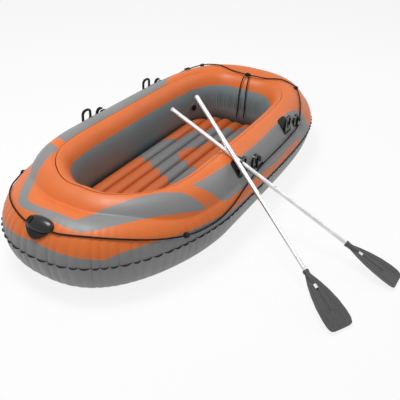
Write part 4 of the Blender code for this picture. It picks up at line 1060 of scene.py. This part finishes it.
def oar_frame(tip, passing):
    """Frame of an oar from its blade's tip: x to the handle, z on the upper side."""
    tip, passing = Vector(tip), Vector(passing)
    along = (passing - tip).normalized()
    across = Vector((0, 0, 1)).cross(along).normalized()
    turn = Matrix((along, across, along.cross(across))).transposed().to_4x4()
    return Matrix.Translation(tip) @ turn


def groove(offset, half_width, depth):
    return depth * smooth_step(1 - abs(offset) / half_width)


def side_groove(across_share, form):
    place, half_width, depth = form
    return groove(abs(across_share) - place, half_width, depth)


def blade_relief(length_share, across_share, half):
    """Height of the blade's ribs and grooves above its plain surface."""
    y = across_share * half
    ridge = RIDGE_HEIGHT * math.exp(-(y / RIDGE_SPREAD) ** 2)
    middle = groove(y, MIDDLE_HALF_WIDTH, MIDDLE_DEPTH)
    sides = side_groove(across_share, SIDE_GROOVE) + side_groove(across_share, RIM_RIDGE)
    relief = (ridge * growing(length_share, RIDGE_GROWTH)
              - middle * growing(length_share, MIDDLE_GROWTH)
              - sides * growing(length_share, SIDE_GROWTH))
    return relief * fading(length_share, NECK_FADE)


def make_blade(label, oar, mat):
    lengths = [p[0] for p in BLADE_OUTLINE_SHARES]
    widths = [p[1] for p in BLADE_OUTLINE_SHARES]
    rows = []
    for i in range(BLADE_STEPS + 1):
        share = (i / BLADE_STEPS) ** TIP_CROWDING
        half = BLADE_WIDTH / 2 * float(np.interp(share, lengths, widths))
        top, under = [], []
        for j in range(BLADE_COLUMNS + 1):
            across = 2 * j / BLADE_COLUMNS - 1
            y = half * across
            base = BLADE_CAMBER * (2 * y / BLADE_WIDTH) ** 2
            edge = math.sqrt(max(1 - across ** EDGE_SQUARENESS, 0.0)) * BLADE_THICKNESS / 2
            top.append((BLADE_LENGTH * share, y,
                        base + edge + blade_relief(share, across, half)))
            under.append((BLADE_LENGTH * share, y, base - edge))
        rows.append([*top, *under[::-1]])
    blade = mesh_object(label + "_blade_moulded", rows, False, True, mat, MOULDED_EDGE)
    close_ends(blade)
    socket = socket_mesh(label, mat)
    frame_of_oar = oar_frame(*oar)
    for obj in (blade, socket):
        obj.matrix_world = frame_of_oar
    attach(blade, label)
    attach(socket, label)
    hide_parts(label + "_blade")


def socket_mesh(label, mat):
    """The blade's socket, which swells out of the blade and ends in a rounded collar."""
    run = SOCKET_END - SOCKET_START
    turns = round_turns(ROUND_POINTS)
    rows = [[(SOCKET_START + run * share, SOCKET_RADIUS * radius_share * math.cos(t),
              SOCKET_RADIUS * radius_share * math.sin(t)) for t in turns]
            for share, radius_share in SOCKET_PROFILE]
    return mesh_object(label + "_blade_socket", rows, False, True, mat, FIRM_EDGE)


# Dressing the frame's own nodes

def dress_nodes(materials):
    slots = {entry["node"]: entry["material_slot"] for entry in frame["record"]["subparts"]}
    for name, obj in frame["nodes"].items():
        obj.data.materials.clear()
        obj.data.materials.append(materials[slots[name]])


# Stage

def make_camera():
    a, e = VIEW_AZIMUTH, VIEW_ELEVATION
    back = Vector((math.sin(a) * math.cos(e), -math.cos(a) * math.cos(e), math.sin(e)))
    right = (-back).cross(Vector((0, 0, 1))).normalized()
    up = right.cross(-back)
    rolled_right = right * math.cos(VIEW_ROLL) + up * math.sin(VIEW_ROLL)
    rolled_up = up * math.cos(VIEW_ROLL) - right * math.sin(VIEW_ROLL)
    data = bpy.data.cameras.new("camera")
    data.sensor_width = SENSOR
    data.lens = LENS
    data.clip_start, data.clip_end = NEAREST, FARTHEST
    camera = linked_object("camera", data)
    turn = Matrix((rolled_right, rolled_up, back)).transposed().to_4x4()
    camera.matrix_world = Matrix.Translation(Vector(VIEW_TARGET) + back * VIEW_DISTANCE) @ turn
    bpy.context.scene.camera = camera


def seen_ray(nodes, links):
    """1 on rays that reach a viewer straight, by reflection or through something clear."""
    path = nodes.new("ShaderNodeLightPath").outputs
    seen = larger(nodes, links, path["Is Camera Ray"], path["Is Glossy Ray"])
    return larger(nodes, links, seen, path["Is Transmission Ray"])


def make_floor_stage():
    bpy.ops.mesh.primitive_plane_add(size=GROUND_SIZE, location=(0, 0, GROUND_HEIGHT))
    ground = bpy.context.object
    ground.name = "ground"
    mat = bpy.data.materials.new("ground")
    mat.use_nodes = True
    nodes, links = mat.node_tree.nodes, mat.node_tree.links
    shader = nodes["Principled BSDF"]
    shader.inputs["Base Color"].default_value = (*(GROUND_GREY,) * 3, 1)
    shader.inputs["Roughness"].default_value = GROUND_ROUGHNESS
    shader.inputs["Specular IOR Level"].default_value = GROUND_SPECULAR
    glow = nodes.new("ShaderNodeEmission")
    glow.inputs["Strength"].default_value = 1.0
    mix = nodes.new("ShaderNodeMixShader")
    share = nodes.new("ShaderNodeMath")
    share.operation = "MULTIPLY"
    share.inputs[1].default_value = GROUND_GLOW_SHARE
    links.new(seen_ray(nodes, links), share.inputs[0])
    links.new(share.outputs[0], mix.inputs["Fac"])
    links.new(shader.outputs["BSDF"], mix.inputs[1])
    links.new(glow.outputs["Emission"], mix.inputs[2])
    links.new(mix.outputs["Shader"], nodes["Material Output"].inputs["Surface"])
    ground.data.materials.append(mat)


def make_lights():
    world = bpy.data.worlds.new("studio")
    bpy.context.scene.world = world
    world.use_nodes = True
    nodes, links = world.node_tree.nodes, world.node_tree.links
    ambient = nodes["Background"]
    ambient.inputs["Color"].default_value = (1, 1, 1, 1)
    ambient.inputs["Strength"].default_value = AMBIENT_STRENGTH
    pale = nodes.new("ShaderNodeBackground")
    pale.inputs["Strength"].default_value = 1.0
    mix = nodes.new("ShaderNodeMixShader")
    links.new(seen_ray(nodes, links), mix.inputs["Fac"])
    links.new(ambient.outputs["Background"], mix.inputs[1])
    links.new(pale.outputs["Background"], mix.inputs[2])
    links.new(mix.outputs["Shader"], nodes["World Output"].inputs["Surface"])
    for name, place, size, power in LAMPS:
        data = bpy.data.lights.new(name, "AREA")
        data.size = size
        data.energy = power
        lamp = linked_object(name, data)
        lamp.location = place
        lamp.rotation_mode = "QUATERNION"
        lamp.rotation_quaternion = (-Vector(place)).to_track_quat("-Z", "Y")


def main():
    make_camera()
    rope = rope_material()
    make_tail("loose_end_port", "rope_tail_port", PORT_TAIL, rope)
    make_tail("loose_end_starboard", "rope_tail_starboard", STARBOARD_TAIL,
              rope)
    vinyl = vinyl_material("hull_vinyl", ORANGE, GREY)
    # the wall's vinyl has its grey painted cooler against the orange light reflected onto it
    wall_vinyl_against_reflected_orange = vinyl_material("wall_vinyl_against_reflected_orange", ORANGE, WALL_GREY_AGAINST_REFLECTED_ORANGE)
    # the floor's vinyl carries painted shade in its darker orange and grey
    shaded_floor_vinyl = vinyl_material("shaded_floor_vinyl", SHADED_FLOOR_ORANGE, SHADED_FLOOR_GREY)
    plain = {name: grained_material(name, *look) for name, look in PLAIN_LOOKS.items()}
    materials = {**plain, "rope_black": rope}
    for slot, name in RENAMED_SLOTS.items():
        materials[slot] = plain[name]
    dress_nodes(materials)
    make_chambers(vinyl, wall_vinyl_against_reflected_orange)
    # the flange is dressed near-black as painted shade under the scallops
    make_flange(plain["patch_black"])
    make_grab_line(rope)
    make_handle_base(plain["polished_black"])
    make_grip(plain["moulded_black"])
    make_clips(plain["moulded_black"])
    make_floor(shaded_floor_vinyl)
    make_blade("port_oar", PORT_OAR, plain["blade_plastic"])
    make_blade("loose_oar", LOOSE_OAR, plain["blade_plastic"])
    make_floor_stage()
    make_lights()
    bpy.context.scene.view_settings.view_transform = "Standard"


main()
